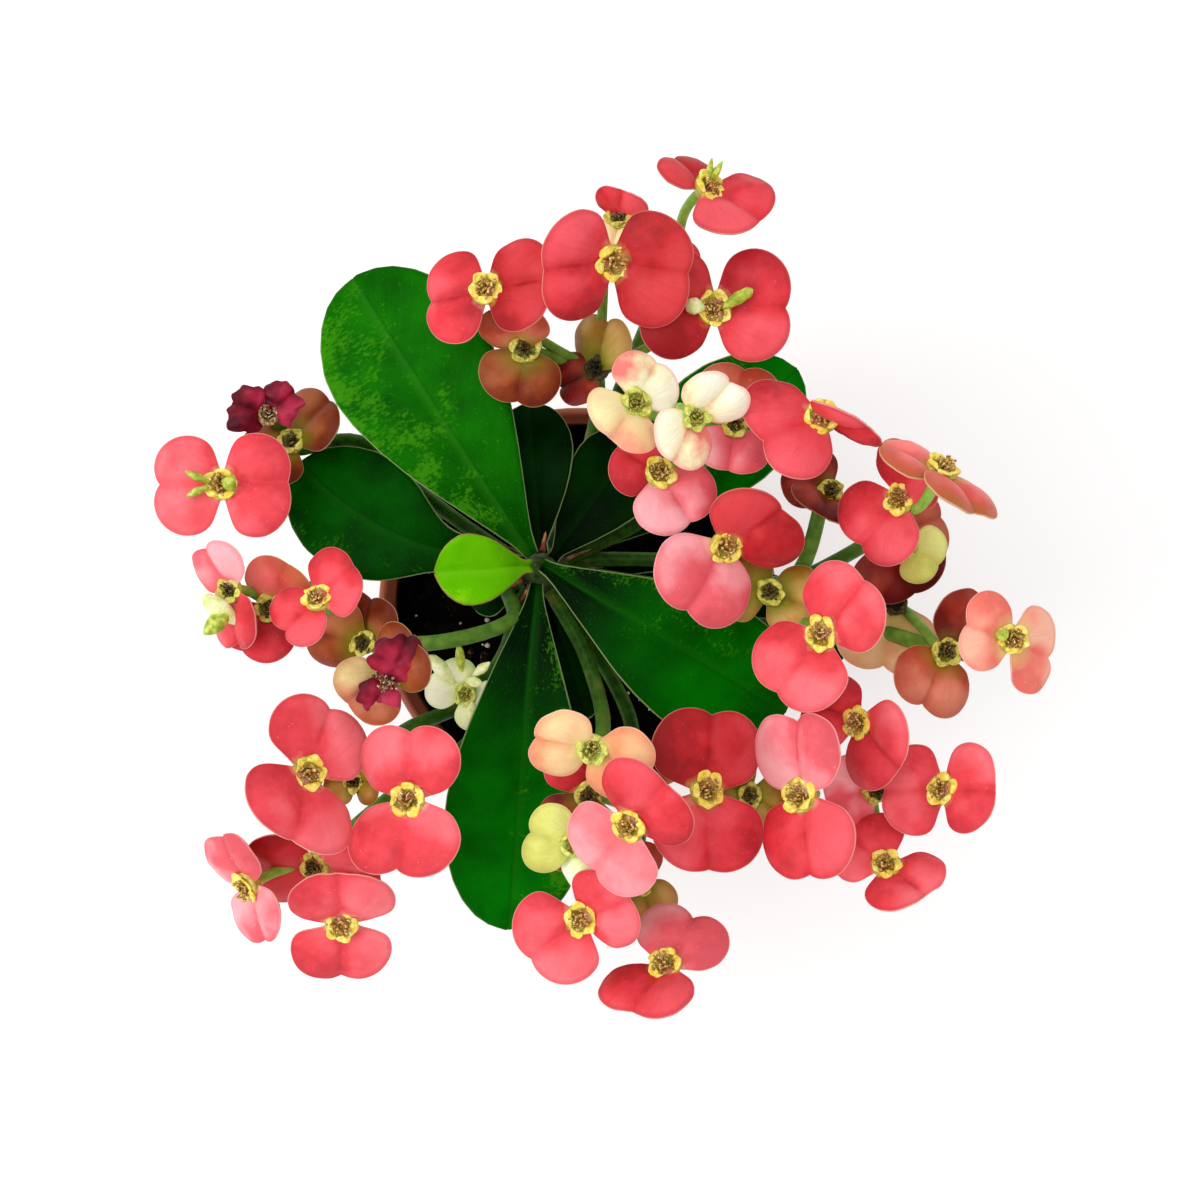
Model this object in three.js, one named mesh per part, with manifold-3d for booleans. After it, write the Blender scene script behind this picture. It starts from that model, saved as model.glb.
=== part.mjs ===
// Crown of thorns (Euphorbia milii) in a nursery pot. Millimetres, +Z up, origin at the middle of the
// pot's underside. +Y is the back of the plant and +X its right.
import * as THREE from 'three';
import { mergeVertices } from 'three/addons/utils/BufferGeometryUtils.js';
import Module from 'manifold-3d';

const wasm = await Module();
wasm.setup();

// ---- driving dimensions ----
const rimRadius = 65; // a 13 cm pot
const potHeight = 118;
const footRadius = 45;
const wall = 2;
const collarHeight = 22;
const collarStep = 3.2; // how far the rim stands out from the line of the wall
const collarFlare = 1.6; // how much wider the collar is at the rim than at its foot
const rimLip = 0.5; // width of the bevels at the rim
const rimLipHeight = 1.2;
const footBevel = 1.5;
const soilTop = 102;
const soilGap = 0.6; // from the soil to the pot's wall
const soilMound = 1; // how much higher the soil is round the stem
const soilMoundRadius = 30;
const seatGap = 0.3; // clearance between a piece and what carries it
const stemClearance = 0.65; // from the bark's radius, because the stem leans and tapers
const stemSocket = 0.4; // clearance between the bark and the soil round it
const stemSeat = 2.4; // room in the soil under the slanting foot of the stem
const slotCount = 8; // drain slots in the pot floor
const slotWidth = 3.6;
const slotLength = 13;
const slotRing = 31;

const stemFoot = new THREE.Vector3(-3, 4, 66);
const stemTop = new THREE.Vector3(-11.3, 12.3, 188);
const stemSides = 12;
const stemRadius = 7;
const stemTopRadius = 4.4;
const stemTaperStart = 0.86; // share of the stem's length below the green growing tip

const spineCount = 22;
const spineLength = 9;
const spineRadius = 0.9;
const spineSides = 4;
const spineFirst = 112; // height of the lowest spine
const spineRise = 1.6; // height gained from one spine to the next
const spineSlope = 0.25; // how steeply a spine points up
const spineRoot = 1.5; // length of a spine inside the bark
const goldenAngle = 137.5; // from one spine's heading to the next

const peduncleRadius = 2.2;
const peduncleSides = 6;
const branchRadius = 1.4;
const branchSides = 4;
const branchLeave = 0.4; // share of a branch's reach over which it sets off level
const branchArrive = 0.45; // share of its reach over which it turns up to its head
const bractLength = 20; // of a full-grown head, from its middle to a lobe's end
const bractBreadth = 29.5;
const bractThickness = 0.8;
const bractDrop = 1.5; // from a head's face down to its first bract
const bractStep = 0.5; // from its first bract down to its second
const lobeShare = 0.285; // a lobe's radius as a share of the bract's breadth
const lobeTurn = 140; // how far round its middle a lobe's outline runs
const clawHalf = 2.2; // half the width of a bract's foot, inside the cup
const cupSides = 6;
const cupRadius = 4;
const cupMouth = 0.85; // the cup's radius at its top as a share of its greatest
const cupHeight = 1.2; // of the flowers above the head's face
const cupDepth = 1;
const neckLength = 6; // from a head's face down to the end of its stalk
const neckRadius = 1.6;
const branchDepth = 5; // from a fork head's face down to where the branches leave it

const leafThickness = 1;
const leafFullness = [1.5, 0.7]; // how far out a blade is widest, and how bluntly it ends
const leafFootHalf = 1.8; // half the width of a leaf at its foot
const leafTipHalf = 0.8;

const colours = {
  pot: '#a85a40',
  soil: '#2b211a',
  stem: '#7d6a50',
  stalk: '#4f7f2a',
  leaf: '#125008',
  youngLeaf: '#6cc400',
  coral: '#e8525c',
  cream: '#f6e2b0',
  salmon: '#f0a070',
  pink: '#f0a8a8',
  yellowGreen: '#d8e878',
};

const degrees = THREE.MathUtils.degToRad;
const group = new THREE.Group();

// ---- joining and cutting ----
function toSolid(geometry) {
  const bare = geometry.clone();
  bare.deleteAttribute('normal');
  bare.deleteAttribute('uv');
  const merged = mergeVertices(bare, 1e-4);
  return new wasm.Manifold(new wasm.Mesh({
    numProp: 3,
    vertProperties: new Float32Array(merged.attributes.position.array),
    triVerts: new Uint32Array(merged.index.array),
  }));
}

function toGeometry(solid) {
  const mesh = solid.getMesh();
  const geometry = new THREE.BufferGeometry();
  geometry.setAttribute('position', new THREE.BufferAttribute(mesh.vertProperties, 3));
  geometry.setIndex(new THREE.BufferAttribute(mesh.triVerts, 1));
  return geometry;
}

function join(geometries) {
  return toGeometry(geometries.map(toSolid).reduce((all, next) => all.add(next)));
}

function cut(body, tools) {
  return toGeometry(tools.map(toSolid).reduce((left, tool) => left.subtract(tool), toSolid(body)));
}

function addPiece(name, geometry, colour, roughness) {
  const material = new THREE.MeshStandardMaterial({ color: colour, roughness, metalness: 0 });
  const mesh = new THREE.Mesh(geometry, material);
  mesh.name = name;
  group.add(mesh);
  return mesh;
}

// A lathe turns about Y, so it is stood up to turn about Z.
function lathe(profile, segments) {
  const points = profile.map(([radius, height]) => new THREE.Vector2(radius, height));
  return new THREE.LatheGeometry(points, segments).rotateX(Math.PI / 2);
}

// A round stalk of constant radius along a curve.
function tube(curve, radius, sides, steps) {
  const section = new THREE.Shape();
  for (let side = 0; side < sides; side += 1) {
    const angle = (side / sides) * 2 * Math.PI;
    const point = [radius * Math.cos(angle), radius * Math.sin(angle)];
    if (side === 0) section.moveTo(...point);
    else section.lineTo(...point);
  }
  section.closePath();
  return new THREE.ExtrudeGeometry(section, { steps, bevelEnabled: false, extrudePath: curve });
}

// ---- pot and soil ----
const potSegments = 32;
const collarFoot = potHeight - collarHeight;
const collarFootRadius = rimRadius - collarFlare;
const wallTopRadius = collarFootRadius - collarStep;
const innerWallTop = wallTopRadius - wall;
const innerFoot = footRadius - wall;
const innerStep = collarFoot + wall - footBevel; // height where the inside widens to the collar

function potBody() {
  const shell = lathe([
    [0, 0],
    [footRadius - footBevel, 0],
    [footRadius, footBevel],
    [wallTopRadius, collarFoot - footBevel],
    [collarFootRadius, collarFoot],
    [rimRadius, potHeight - rimLipHeight],
    [rimRadius - rimLip, potHeight],
    [rimRadius - wall, potHeight],
    [rimRadius - wall - rimLip, potHeight - rimLipHeight],
    [collarFootRadius - wall, collarFoot + wall],
    [innerWallTop, innerStep],
    [innerFoot, wall],
    [0, wall],
  ], potSegments);
  const slots = [];
  for (let slot = 0; slot < slotCount; slot += 1) {
    const opening = new THREE.BoxGeometry(slotLength, slotWidth, 4 * wall);
    opening.translate(slotRing, 0, 0).rotateZ((slot / slotCount) * 2 * Math.PI);
    slots.push(opening);
  }
  return cut(shell, slots);
}

function soilBody() {
  const soilFoot = wall + seatGap;
  const fill = lathe([
    [0, soilFoot],
    [innerFoot - soilGap, soilFoot],
    [innerWallTop - soilGap, innerStep],
    [collarFootRadius - wall - soilGap, collarFoot + wall + footBevel],
    [collarFootRadius - wall - soilGap, soilTop - footBevel],
    [soilMoundRadius, soilTop],
    [0, soilTop + soilMound],
  ], potSegments);
  const holeFoot = stemAxis(stemShare(stemFoot.z - stemSeat));
  const holeTop = stemAxis(stemShare(soilTop + stemRadius));
  const hole = new THREE.LineCurve3(holeFoot, holeTop);
  const planted = tube(hole, stemRadius + stemSocket, stemSides, 1);
  return cut(fill, [planted]);
}

// ---- main stem ----
function stemAxis(share) {
  return stemFoot.clone().lerp(stemTop, share);
}

function stemShare(height) {
  return (height - stemFoot.z) / (stemTop.z - stemFoot.z);
}

function stemRadiusAt(share) {
  const taper = Math.max(0, (share - stemTaperStart) / (1 - stemTaperStart));
  return stemRadius + (stemTopRadius - stemRadius) * taper;
}

// The point just clear of the bark at a height, on the side that faces a heading.
function stemSurface(height, heading, clearance) {
  const share = stemShare(height);
  const reach = stemRadiusAt(share) + clearance;
  return stemAxis(share).add(headingVector(heading).multiplyScalar(reach));
}

function headingVector(heading) {
  return new THREE.Vector3(Math.cos(degrees(heading)), Math.sin(degrees(heading)), 0);
}

function stemTrunk() {
  const rings = [0, 0.3, 0.6, stemTaperStart, 1];
  const trunk = new THREE.CylinderGeometry(1, 1, 1, stemSides, rings.length - 1).rotateX(Math.PI / 2);
  const position = trunk.attributes.position;
  const point = new THREE.Vector3();
  for (let index = 0; index < position.count; index += 1) {
    point.fromBufferAttribute(position, index);
    const share = rings[Math.round((point.z + 0.5) * (rings.length - 1))];
    const radius = stemRadiusAt(share);
    const centre = stemAxis(share);
    position.setXYZ(index, centre.x + radius * point.x, centre.y + radius * point.y, centre.z);
  }
  return trunk;
}

function spines() {
  const list = [];
  for (let index = 0; index < spineCount; index += 1) {
    const height = spineFirst + index * spineRise;
    const heading = index * goldenAngle;
    const outward = headingVector(heading).setZ(spineSlope).normalize();
    const spine = new THREE.ConeGeometry(spineRadius, spineLength, spineSides);
    spine.translate(0, spineLength / 2, 0);
    const turn = new THREE.Quaternion().setFromUnitVectors(THREE.Object3D.DEFAULT_UP, outward);
    spine.applyQuaternion(turn);
    const seat = stemSurface(height, heading, -spineRoot);
    list.push(spine.translate(seat.x, seat.y, seat.z));
  }
  return list;
}

addPiece('pot', potBody(), colours.pot, 0.55);
addPiece('potting_soil', soilBody(), colours.soil, 0.95);
addPiece('main_stem', join([stemTrunk(), ...spines()]), colours.stem, 0.8);

// ---- leaves ----
// Each leaf: where it leaves the stem (height, heading), its tip, its breadth, how far its midrib
// arches above the straight line, how steeply its halves fold up, and how far it bows sideways.
const leaf = (name, height, heading, tip, breadth, arch, fold = 0.12, bow = 0) => ({
  name, height, heading, tip: new THREE.Vector3(...tip), breadth, arch, fold, bow,
});

const leaves = [
  leaf('leaf_back_left_large', 181, 124, [-62.5, 93.5, 190], 46, 16),
  leaf('leaf_left', 173, 156, [-81, 43, 170], 36, 8, 0.12, -15),
  leaf('leaf_young', 185, 187, [-38, 10, 202], 20, 4, 0.35),
  leaf('leaf_back', 174, 94, [-13, 60, 174], 23, 8),
  leaf('leaf_back_right_short', 172, 50, [20, 50, 172], 27, 8),
  leaf('leaf_right_large', 180, -20, [61, -31, 176], 40, 15),
  leaf('leaf_front_large', 177, -98, [-20, -95, 170], 41, 20),
  leaf('leaf_front_narrow', 163, -84, [3.5, -34, 156], 14, 6),
  leaf('leaf_left_under', 163, 204, [-32, 1, 160], 13, 4),
  leaf('leaf_back_right_large', 155, 44, [66, 71, 164], 38, 8),
  leaf('leaf_right_under', 144, -14, [82, -14, 151], 36, 4),
];

// Half the breadth of an inverted-egg blade, from its narrow foot to its rounded tip.
function leafHalfBreadth(share, breadth) {
  const [skew, bluntness] = leafFullness;
  const half = 0.5 * breadth * Math.sin(Math.PI * share ** skew) ** bluntness;
  return Math.max(half, THREE.MathUtils.lerp(leafFootHalf, leafTipHalf, share));
}

function leafBlade({ height, heading, tip, breadth, arch, fold, bow }) {
  const foot = stemSurface(height, heading, stemClearance);
  const sideways = tip.clone().sub(foot).cross(new THREE.Vector3(0, 0, 1)).normalize();
  const crown = foot.clone().lerp(tip, 0.5).setZ((foot.z + tip.z) / 2 + arch);
  crown.addScaledVector(sideways, bow);
  const midrib = new THREE.QuadraticBezierCurve3(foot, crown, tip);
  const rows = [0, 0.12, 0.3, 0.5, 0.7, 0.86, 0.95, 1];
  const blade = new THREE.BoxGeometry(2, rows.length - 1, 1, 2, rows.length - 1, 1);
  blade.translate(0, (rows.length - 1) / 2, 0);
  const position = blade.attributes.position;
  const point = new THREE.Vector3();
  for (let index = 0; index < position.count; index += 1) {
    point.fromBufferAttribute(position, index);
    const share = rows[Math.round(point.y)];
    const along = midrib.getTangent(share);
    const across = along.clone().cross(new THREE.Vector3(0, 0, 1)).normalize();
    const up = across.clone().cross(along);
    const half = leafHalfBreadth(share, breadth);
    const place = midrib.getPoint(share);
    place.addScaledVector(across, point.x * half);
    place.addScaledVector(up, Math.abs(point.x) * half * fold + point.z * leafThickness);
    position.setXYZ(index, place.x, place.y, place.z);
  }
  return blade;
}

for (const item of leaves) {
  const colour = item.name === 'leaf_young' ? colours.youngLeaf : colours.leaf;
  addPiece(item.name, join([leafBlade(item)]), colour, 0.4);
}

// ---- flower heads ----
// A head is two kidney-shaped bracts on a small cup. Its place (mm) is the middle of its face. turn is
// the heading of its bract pair; it leans by so many degrees towards a heading; size is against a
// full-grown head. Each bract has a lift above the face, a swing about the cup, a twist about its own
// length and its share of the head's size.
const head = (
  name, at, turn, lean, toward, size, first, second, colour = colours.coral,
) => ({ name, at: new THREE.Vector3(...at), turn, lean, toward, size, first, second, colour });

function headFrame({ turn, lean, toward }) {
  const up = headingVector(toward).multiplyScalar(Math.sin(degrees(lean)));
  up.z = Math.cos(degrees(lean));
  const pair = headingVector(turn);
  pair.addScaledVector(up, -pair.dot(up)).normalize();
  const across = up.clone().cross(pair);
  return { pair, across, up };
}

function bract(size, [lift, swing, twist], drop, arcSteps) {
  const lobeRadius = lobeShare * bractBreadth * size;
  const lobeSide = 0.5 * bractBreadth * size - lobeRadius;
  const lobeAhead = bractLength * size - lobeRadius;
  const notch = Math.asin(lobeSide / lobeRadius);
  const claw = clawHalf * size;
  const outline = new THREE.Shape();
  outline.moveTo(0, -claw);
  outline.absarc(lobeAhead, -lobeSide, lobeRadius, degrees(-lobeTurn), notch, false);
  outline.absarc(lobeAhead, lobeSide, lobeRadius, -notch, degrees(lobeTurn), false);
  outline.lineTo(0, claw);
  outline.closePath();
  const blade = new THREE.ExtrudeGeometry(outline, {
    depth: bractThickness, steps: 1, bevelEnabled: false, curveSegments: arcSteps,
  });
  blade.translate(0, 0, -bractThickness / 2).rotateX(degrees(twist)).rotateY(-degrees(lift));
  return blade.translate(0, 0, -drop).rotateZ(degrees(swing));
}

function headBody({ size, first, second }, arcSteps) {
  const cupWidest = cupRadius * Math.sqrt(size);
  const cup = lathe([
    [0, -neckLength],
    [neckRadius, -neckLength],
    [cupWidest, -cupDepth],
    [cupMouth * cupWidest, cupHeight],
    [0, cupHeight],
  ], cupSides);
  const ahead = bract(size * first[3], first, bractDrop, arcSteps);
  const behind = bract(size * second[3], second, bractDrop + bractStep, arcSteps);
  return join([cup, ahead, behind.rotateZ(Math.PI)]);
}

function addHead(item) {
  const mesh = addPiece(item.name, headBody(item, 2), item.colour, 0.5);
  const { pair, across, up } = headFrame(item);
  mesh.position.copy(item.at);
  mesh.quaternion.setFromRotationMatrix(new THREE.Matrix4().makeBasis(pair, across, up));
}

function placedHead(item) {
  const { pair, across, up } = headFrame(item);
  const place = new THREE.Matrix4().makeBasis(pair, across, up).setPosition(item.at);
  return headBody(item, 1).applyMatrix4(place);
}

// ---- flower stalks ----
// A truss: its stalk leaves the stem (height, heading), bends through some points and ends under the
// oldest head, which sits in the fork. Branches spring from just below that head and each carries a
// younger head: a piece of its own, or, where it is small, still part of the stalk.
const trusses = [
  {
    name: 'flower_stalk_left_low', height: 156, heading: 154,
    bends: [[-45, 33, 156], [-65, 49.5, 163]],
    fork: head('', [-81.7, 48, 181], 40, 10, 120, 0.7, [8, 10, -25, 1.19], [25, 0, 0, 1]),
    heads: [
      head('flower_left_1', [-97.9, 34.4, 198], 1, 3, 179, 0.97,
        [5, 1, -2, 1.02], [6, -1, 0, 0.98]),
    ],
    grown: [
      head('', [-87, 55, 187], 10, 10, 90, 0.5, [30, 25, 10, 1.1], [35, -25, -10, 1.2]),
    ],
  },
  {
    name: 'flower_stalk_left', height: 172, heading: 208,
    bends: [[-18, -3, 181], [-42, -10, 190]],
    fork: head('', [-58.3, -9.5, 200.1], 148, 12, 236, 0.6,
      [13, 18, -22, 1.3], [5, 112, -20, 1.12]),
    heads: [
      head('flower_left_2', [-68.4, 3, 215], 40, 21, 113, 0.69,
        [22, -3, -2, 1.02], [-1, 3, 7, 0.97]),
      head('flower_left_3', [-49.8, -18.1, 215], 25, 5, 300, 0.75,
        [24, 26, -25, 0.95], [30, 8, 15, 0.95]),
    ],
    grown: [],
  },
  {
    name: 'flower_stalk_left_far', height: 158, heading: 190,
    bends: [[-45, 17, 157], [-72, 8, 176]],
    fork: head('', [-84.5, 0, 199], 60, 10, 180, 0.75, [20, 0, 0, 1], [20, 0, 0, 1]),
    heads: [],
    grown: [
      head('', [-93.6, 5, 207], 103, 25, 180, 0.62, [23, 16, -22, 1.15], [-3, -11, 24, 1.3]),
    ],
  },
  {
    name: 'flower_stalk_left_young', height: 168, heading: 236,
    bends: [[-22, -16, 172]],
    fork: head('', [-31.7, -24.8, 180], 138, 5, 230, 0.5,
      [25, 0, 0, 1.15], [15, 0, 0, 1.1], colours.cream),
    heads: [],
    grown: [],
  },
  {
    name: 'flower_stalk_front_left', height: 159, heading: 242,
    bends: [[-30, -26, 158], [-50, -36, 176]],
    fork: head('', [-60, -47, 206], 0, 10, 200, 0.45, [30, 0, 0, 1], [30, 0, 0, 1]),
    heads: [
      head('flower_front_left_1', [-68.5, -42.9, 227], 61, 31, 9, 1.06,
        [-7, -1, 3, 0.95], [35, 0, -4, 1.05]),
      head('flower_front_left_2', [-43.2, -50, 224], 90, 17, 167, 1.02,
        [7, 1, -2, 0.96], [24, -1, -1, 1.04]),
    ],
    grown: [],
  },
  {
    name: 'flower_stalk_front_left_low', height: 151, heading: 256,
    bends: [[-30, -38, 164], [-54, -55, 184]],
    fork: head('', [-70.9, -70.5, 205], 5, 12, 240, 0.8, [-5, -16, 30, 1.15], [8, 3, -30, 1.15]),
    heads: [
      head('flower_front_left_3', [-61, -83.3, 221], 89, 9, 310, 0.93,
        [32, 1, 0, 1.02], [-17, -1, -1, 0.98]),
      head('flower_front_left_4', [-88, -74.6, 214], 108, 45, 205, 0.8,
        [10, 0, 0, 1], [10, 0, 0, 1], colours.pink),
    ],
    grown: [],
  },
  {
    name: 'flower_stalk_front', height: 170, heading: -64,
    bends: [[2, -12, 170], [8, -32, 178]],
    fork: head('', [4, -50, 215], 75, 5, 270, 0.7, [8, 18, 0, 1.15], [4, 2, 42, 1.6]),
    heads: [
      head('flower_front_1', [5.1, -36.4, 229], -10, 6, 270, 0.8,
        [4, -20, 25, 1], [8, 0, -32, 1], colours.salmon),
      head('flower_front_2', [14.3, -54.9, 238], 46, 23, 197, 0.95,
        [22, -2, 6, 0.99], [-7, 2, 4, 1.01]),
    ],
    grown: [
      head('', [0.2, -62.3, 221], 140, 8, 230, 0.6,
        [10, 24, 0, 1.1], [17, -17, 30, 1.1], colours.yellowGreen),
    ],
  },
  {
    name: 'flower_stalk_front_low', height: 150, heading: -60,
    bends: [[16, -33, 150]],
    fork: head('', [18.2, -76.2, 198], 110, 8, 280, 0.6, [15, 0, 0, 1], [15, 0, 0, 1]),
    heads: [
      head('flower_front_3', [2.1, -82.1, 220], 28, 10, 230, 0.95,
        [20, -2, 5, 0.85], [10, 12, 4, 0.96]),
      head('flower_front_4', [24.4, -94.7, 216], 69, 34, 113, 0.92,
        [-9, 3, 0, 0.98], [26, -1, 17, 1.02]),
    ],
    grown: [],
  },
  {
    name: 'flower_stalk_front_centre', height: 166, heading: -50,
    bends: [[23, -23, 170], [40, -46, 184]],
    fork: head('', [48, -51, 205], 150, 8, 300, 0.6, [15, 0, 0, 1], [15, 0, 0, 1]),
    heads: [
      head('flower_front_5', [35.6, -48, 219], 85, 30, 53, 1.08,
        [24, -1, 4, 1.02], [-5, 1, 3, 0.99]),
      head('flower_front_right_1', [58.4, -47.9, 231], 97, 36, 171, 1.07,
        [9, 0, -16, 0.99], [0, 1, 14, 1.01]),
    ],
    grown: [],
  },
  {
    name: 'flower_stalk_front_right', height: 154, heading: -34,
    bends: [[46, -27, 164]],
    fork: head('', [83, -50, 202], 60, 8, 320, 0.7, [15, 0, 0, 1], [15, -50, 0, 1.1]),
    heads: [
      head('flower_front_right_2', [75.3, -30.4, 217], 153, 32, 198, 0.84,
        [19, 8, -2, 0.89], [25, -7, 9, 1.09]),
      head('flower_front_right_3', [97, -47.5, 222], -3, 30, 155, 0.82,
        [22, -2, -1, 0.99], [5, 1, 1, 1.01]),
      head('flower_front_right_4', [83.7, -68.2, 214], 131, 33, 112, 0.79,
        [-8, -1, -4, 0.97], [22, 1, -13, 1.02]),
    ],
    grown: [],
  },
  {
    name: 'flower_stalk_right', height: 162, heading: -14,
    bends: [[45, -4, 166], [83, -6, 188]],
    fork: head('', [101.1, -11.7, 208], 60, 12, 330, 0.8, [3, -12, 25, 1.1], [15, 6, -11, 1.09]),
    heads: [
      head('flower_right_1', [115.7, -7.9, 222], -17, 11, 94, 0.78,
        [-35, 1, -2, 1.05], [18, 0, 1, 0.95]),
    ],
    grown: [
      head('', [90, 1.5, 192], 100, 10, 200, 0.6, [10, 0, 0, 0.5], [14, -20, -10, 1.7]),
    ],
  },
  {
    name: 'flower_stalk_right_back', height: 150, heading: 2,
    bends: [[55, 5, 162]],
    fork: head('', [87.4, 19.8, 198], 20, 10, 0, 0.75, [10, 0, 0, 1.1], [10, 93, 25, 1.2]),
    heads: [
      head('flower_right_2', [93.7, 35.9, 239.5], -39, 49, 72, 0.86,
        [0, -36, -20, 1], [4, 1, 15, 0.95]),
      head('flower_right_3', [86.4, 29.2, 219], 48, 33, 178, 0.85,
        [29, 7, -11, 0.93], [4, -7, 1, 1.05]),
    ],
    grown: [
      head('', [90, 16.9, 210], -29, 10, -29, 0.56,
        [5, 0, 0, 1], [10, 0, 0, 1], colours.yellowGreen),
    ],
  },
  {
    name: 'flower_stalk_centre_right', height: 168, heading: -4,
    bends: [[22, 4, 171], [44, 4, 180]],
    fork: head('', [54, 4.5, 202], 160, 8, 0, 0.7, [10, 0, 0, 1], [10, 0, 0, 1]),
    heads: [
      head('flower_centre_1', [41, 16.5, 214.5], 52, 27, 309, 1.05,
        [30, -6, 2, 0.96], [18, 6, -1, 1.04]),
      head('flower_right_4', [65.3, -6.6, 222], 47, 31, 149, 1,
        [16, -1, -6, 0.97], [4, 1, 5, 1.02]),
    ],
    grown: [],
  },
  {
    name: 'flower_stalk_back_right', height: 158, heading: 20,
    bends: [[30, 14, 160], [62, 8, 182]],
    fork: head('', [70.8, 32.4, 200], 170, 10, 60, 0.6, [4, -26, 10, 1.15], [45, -110, 0, 1.1]),
    heads: [
      head('flower_back_right_1', [64.4, 49.7, 230], 14, 8, 180, 0.98,
        [36, -34, 80, 0.84], [30, 10, 12, 1.04]),
    ],
    grown: [],
  },
  {
    name: 'flower_stalk_back_centre', height: 162, heading: 30,
    bends: [[18, 25, 165]],
    fork: head('', [43.5, 49.5, 212], 80, 8, 40, 0.6, [15, 0, 0, 1.35], [15, 0, 0, 1.15]),
    heads: [
      head('flower_centre_2', [16.6, 53, 232], 55, 16, 1, 0.7,
        [-6, 3, 3, 0.95], [27, -4, 3, 1.05], colours.cream),
      head('flower_centre_3', [31.5, 48.8, 239], 59, 31, 320, 0.69,
        [30, -3, 8, 1], [17, 4, -7, 1], colours.cream),
      head('flower_centre_4', [23.2, 36.3, 217], -58, 8, 60, 0.81,
        [0, 0, -3, 1], [10, 28, 0, 0.85]),
    ],
    grown: [],
  },
  {
    name: 'flower_stalk_back', height: 163, heading: 70,
    bends: [[1, 38, 163], [6.5, 57, 178]],
    fork: head('', [6.3, 66.7, 196], 100, 5, 90, 0.6, [17, -20, -42, 1.25], [-4, -77, 20, 1.02]),
    heads: [
      head('flower_back_1', [10.6, 88.9, 232], -2, 31, 285, 1.03,
        [27, -3, 0, 1.02], [22, 2, -3, 0.98]),
      head('flower_back_2', [-22.9, 84.2, 222], 3, 14, 121, 0.9,
        [15, 1, -7, 1.02], [-13, -2, -1, 0.98]),
      head('flower_back_3', [37.3, 79, 222], -2, 9, 264, 1, [9, 2, 0, 1], [13, -2, 2, 1]),
    ],
    grown: [
      head('', [-13.1, 70.8, 207], 86, 10, 250, 0.8, [30, 32, -30, 0.9], [-2, -7, 4, 0.98]),
    ],
  },
  {
    name: 'flower_stalk_back_far', height: 150, heading: 72,
    bends: [[14, 66, 172]],
    fork: head('', [26, 92, 204], 20, 8, 60, 0.5, [20, 0, 0, 1], [20, 0, 0, 1]),
    heads: [
      head('flower_back_4', [35.8, 110, 226], -50, 31, 20, 0.8,
        [33, 6, -2, 1.1], [-24, -8, 15, 0.85]),
    ],
    grown: [
      head('', [12.3, 104.2, 218], 60, 15, 110, 0.6, [70, 10, 0, 0.85], [10, 20, 0, 0.7]),
    ],
  },
];

function stalkCurve({ height, heading, bends, fork }) {
  const { up } = headFrame(fork);
  const points = [
    stemSurface(height, heading, stemClearance),
    stemSurface(height, heading, 2 * peduncleRadius),
    ...bends.map((bend) => new THREE.Vector3(...bend)),
    fork.at.clone().addScaledVector(up, -1.5 * neckLength),
    fork.at.clone().addScaledVector(up, -0.5 * neckLength),
  ];
  return new THREE.CatmullRomCurve3(points, false, 'centripetal');
}

// A branch springs from below the fork's cup, sets off level towards its head and turns up to meet it
// squarely.
function branchCurve(fork, item, clearance) {
  const forkFrame = headFrame(fork);
  const itemFrame = headFrame(item);
  const start = fork.at.clone().addScaledVector(forkFrame.up, -branchDepth);
  const end = item.at.clone().addScaledVector(itemFrame.up, -neckLength - clearance);
  const reach = start.distanceTo(end);
  const outward = end.clone().sub(start).setZ(0).normalize();
  const leave = start.clone().addScaledVector(outward, branchLeave * reach);
  const arrive = end.clone().addScaledVector(itemFrame.up, -branchArrive * reach);
  return new THREE.CubicBezierCurve3(start, leave, arrive, end);
}

function trussBody(truss) {
  const stalk = tube(stalkCurve(truss), peduncleRadius, peduncleSides, 6);
  const pieces = [stalk, placedHead(truss.fork)];
  for (const item of truss.heads) {
    pieces.push(tube(branchCurve(truss.fork, item, seatGap), branchRadius, branchSides, 4));
  }
  for (const item of truss.grown) {
    pieces.push(tube(branchCurve(truss.fork, item, -seatGap), branchRadius, branchSides, 3));
    pieces.push(placedHead(item));
  }
  return join(pieces);
}

for (const truss of trusses) {
  addPiece(truss.name, trussBody(truss), colours.stalk, 0.6);
  truss.heads.forEach(addHead);
}

export default group;
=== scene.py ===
import math
import random

import bpy
from mathutils import Matrix, Vector, noise


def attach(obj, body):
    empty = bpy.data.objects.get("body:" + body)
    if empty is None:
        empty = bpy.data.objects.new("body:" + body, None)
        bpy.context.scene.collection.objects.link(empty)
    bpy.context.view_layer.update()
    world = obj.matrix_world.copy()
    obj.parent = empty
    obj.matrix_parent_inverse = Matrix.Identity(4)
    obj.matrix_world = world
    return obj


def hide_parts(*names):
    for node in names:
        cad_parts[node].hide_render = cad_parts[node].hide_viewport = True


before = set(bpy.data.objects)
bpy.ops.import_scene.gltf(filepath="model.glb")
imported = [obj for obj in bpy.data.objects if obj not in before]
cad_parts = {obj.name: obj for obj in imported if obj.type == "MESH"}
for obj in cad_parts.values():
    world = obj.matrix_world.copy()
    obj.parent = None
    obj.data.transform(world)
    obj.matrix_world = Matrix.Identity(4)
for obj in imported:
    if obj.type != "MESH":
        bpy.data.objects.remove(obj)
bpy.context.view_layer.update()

# ---- pot ----
# A 13 cm nursery pot, injection moulded in terracotta-coloured polypropylene: a thin tapered wall,
# a collar that stiffens the rim, and a flat foot with eight drain slots.
mm = 0.001
pot_segments = 128
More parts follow.
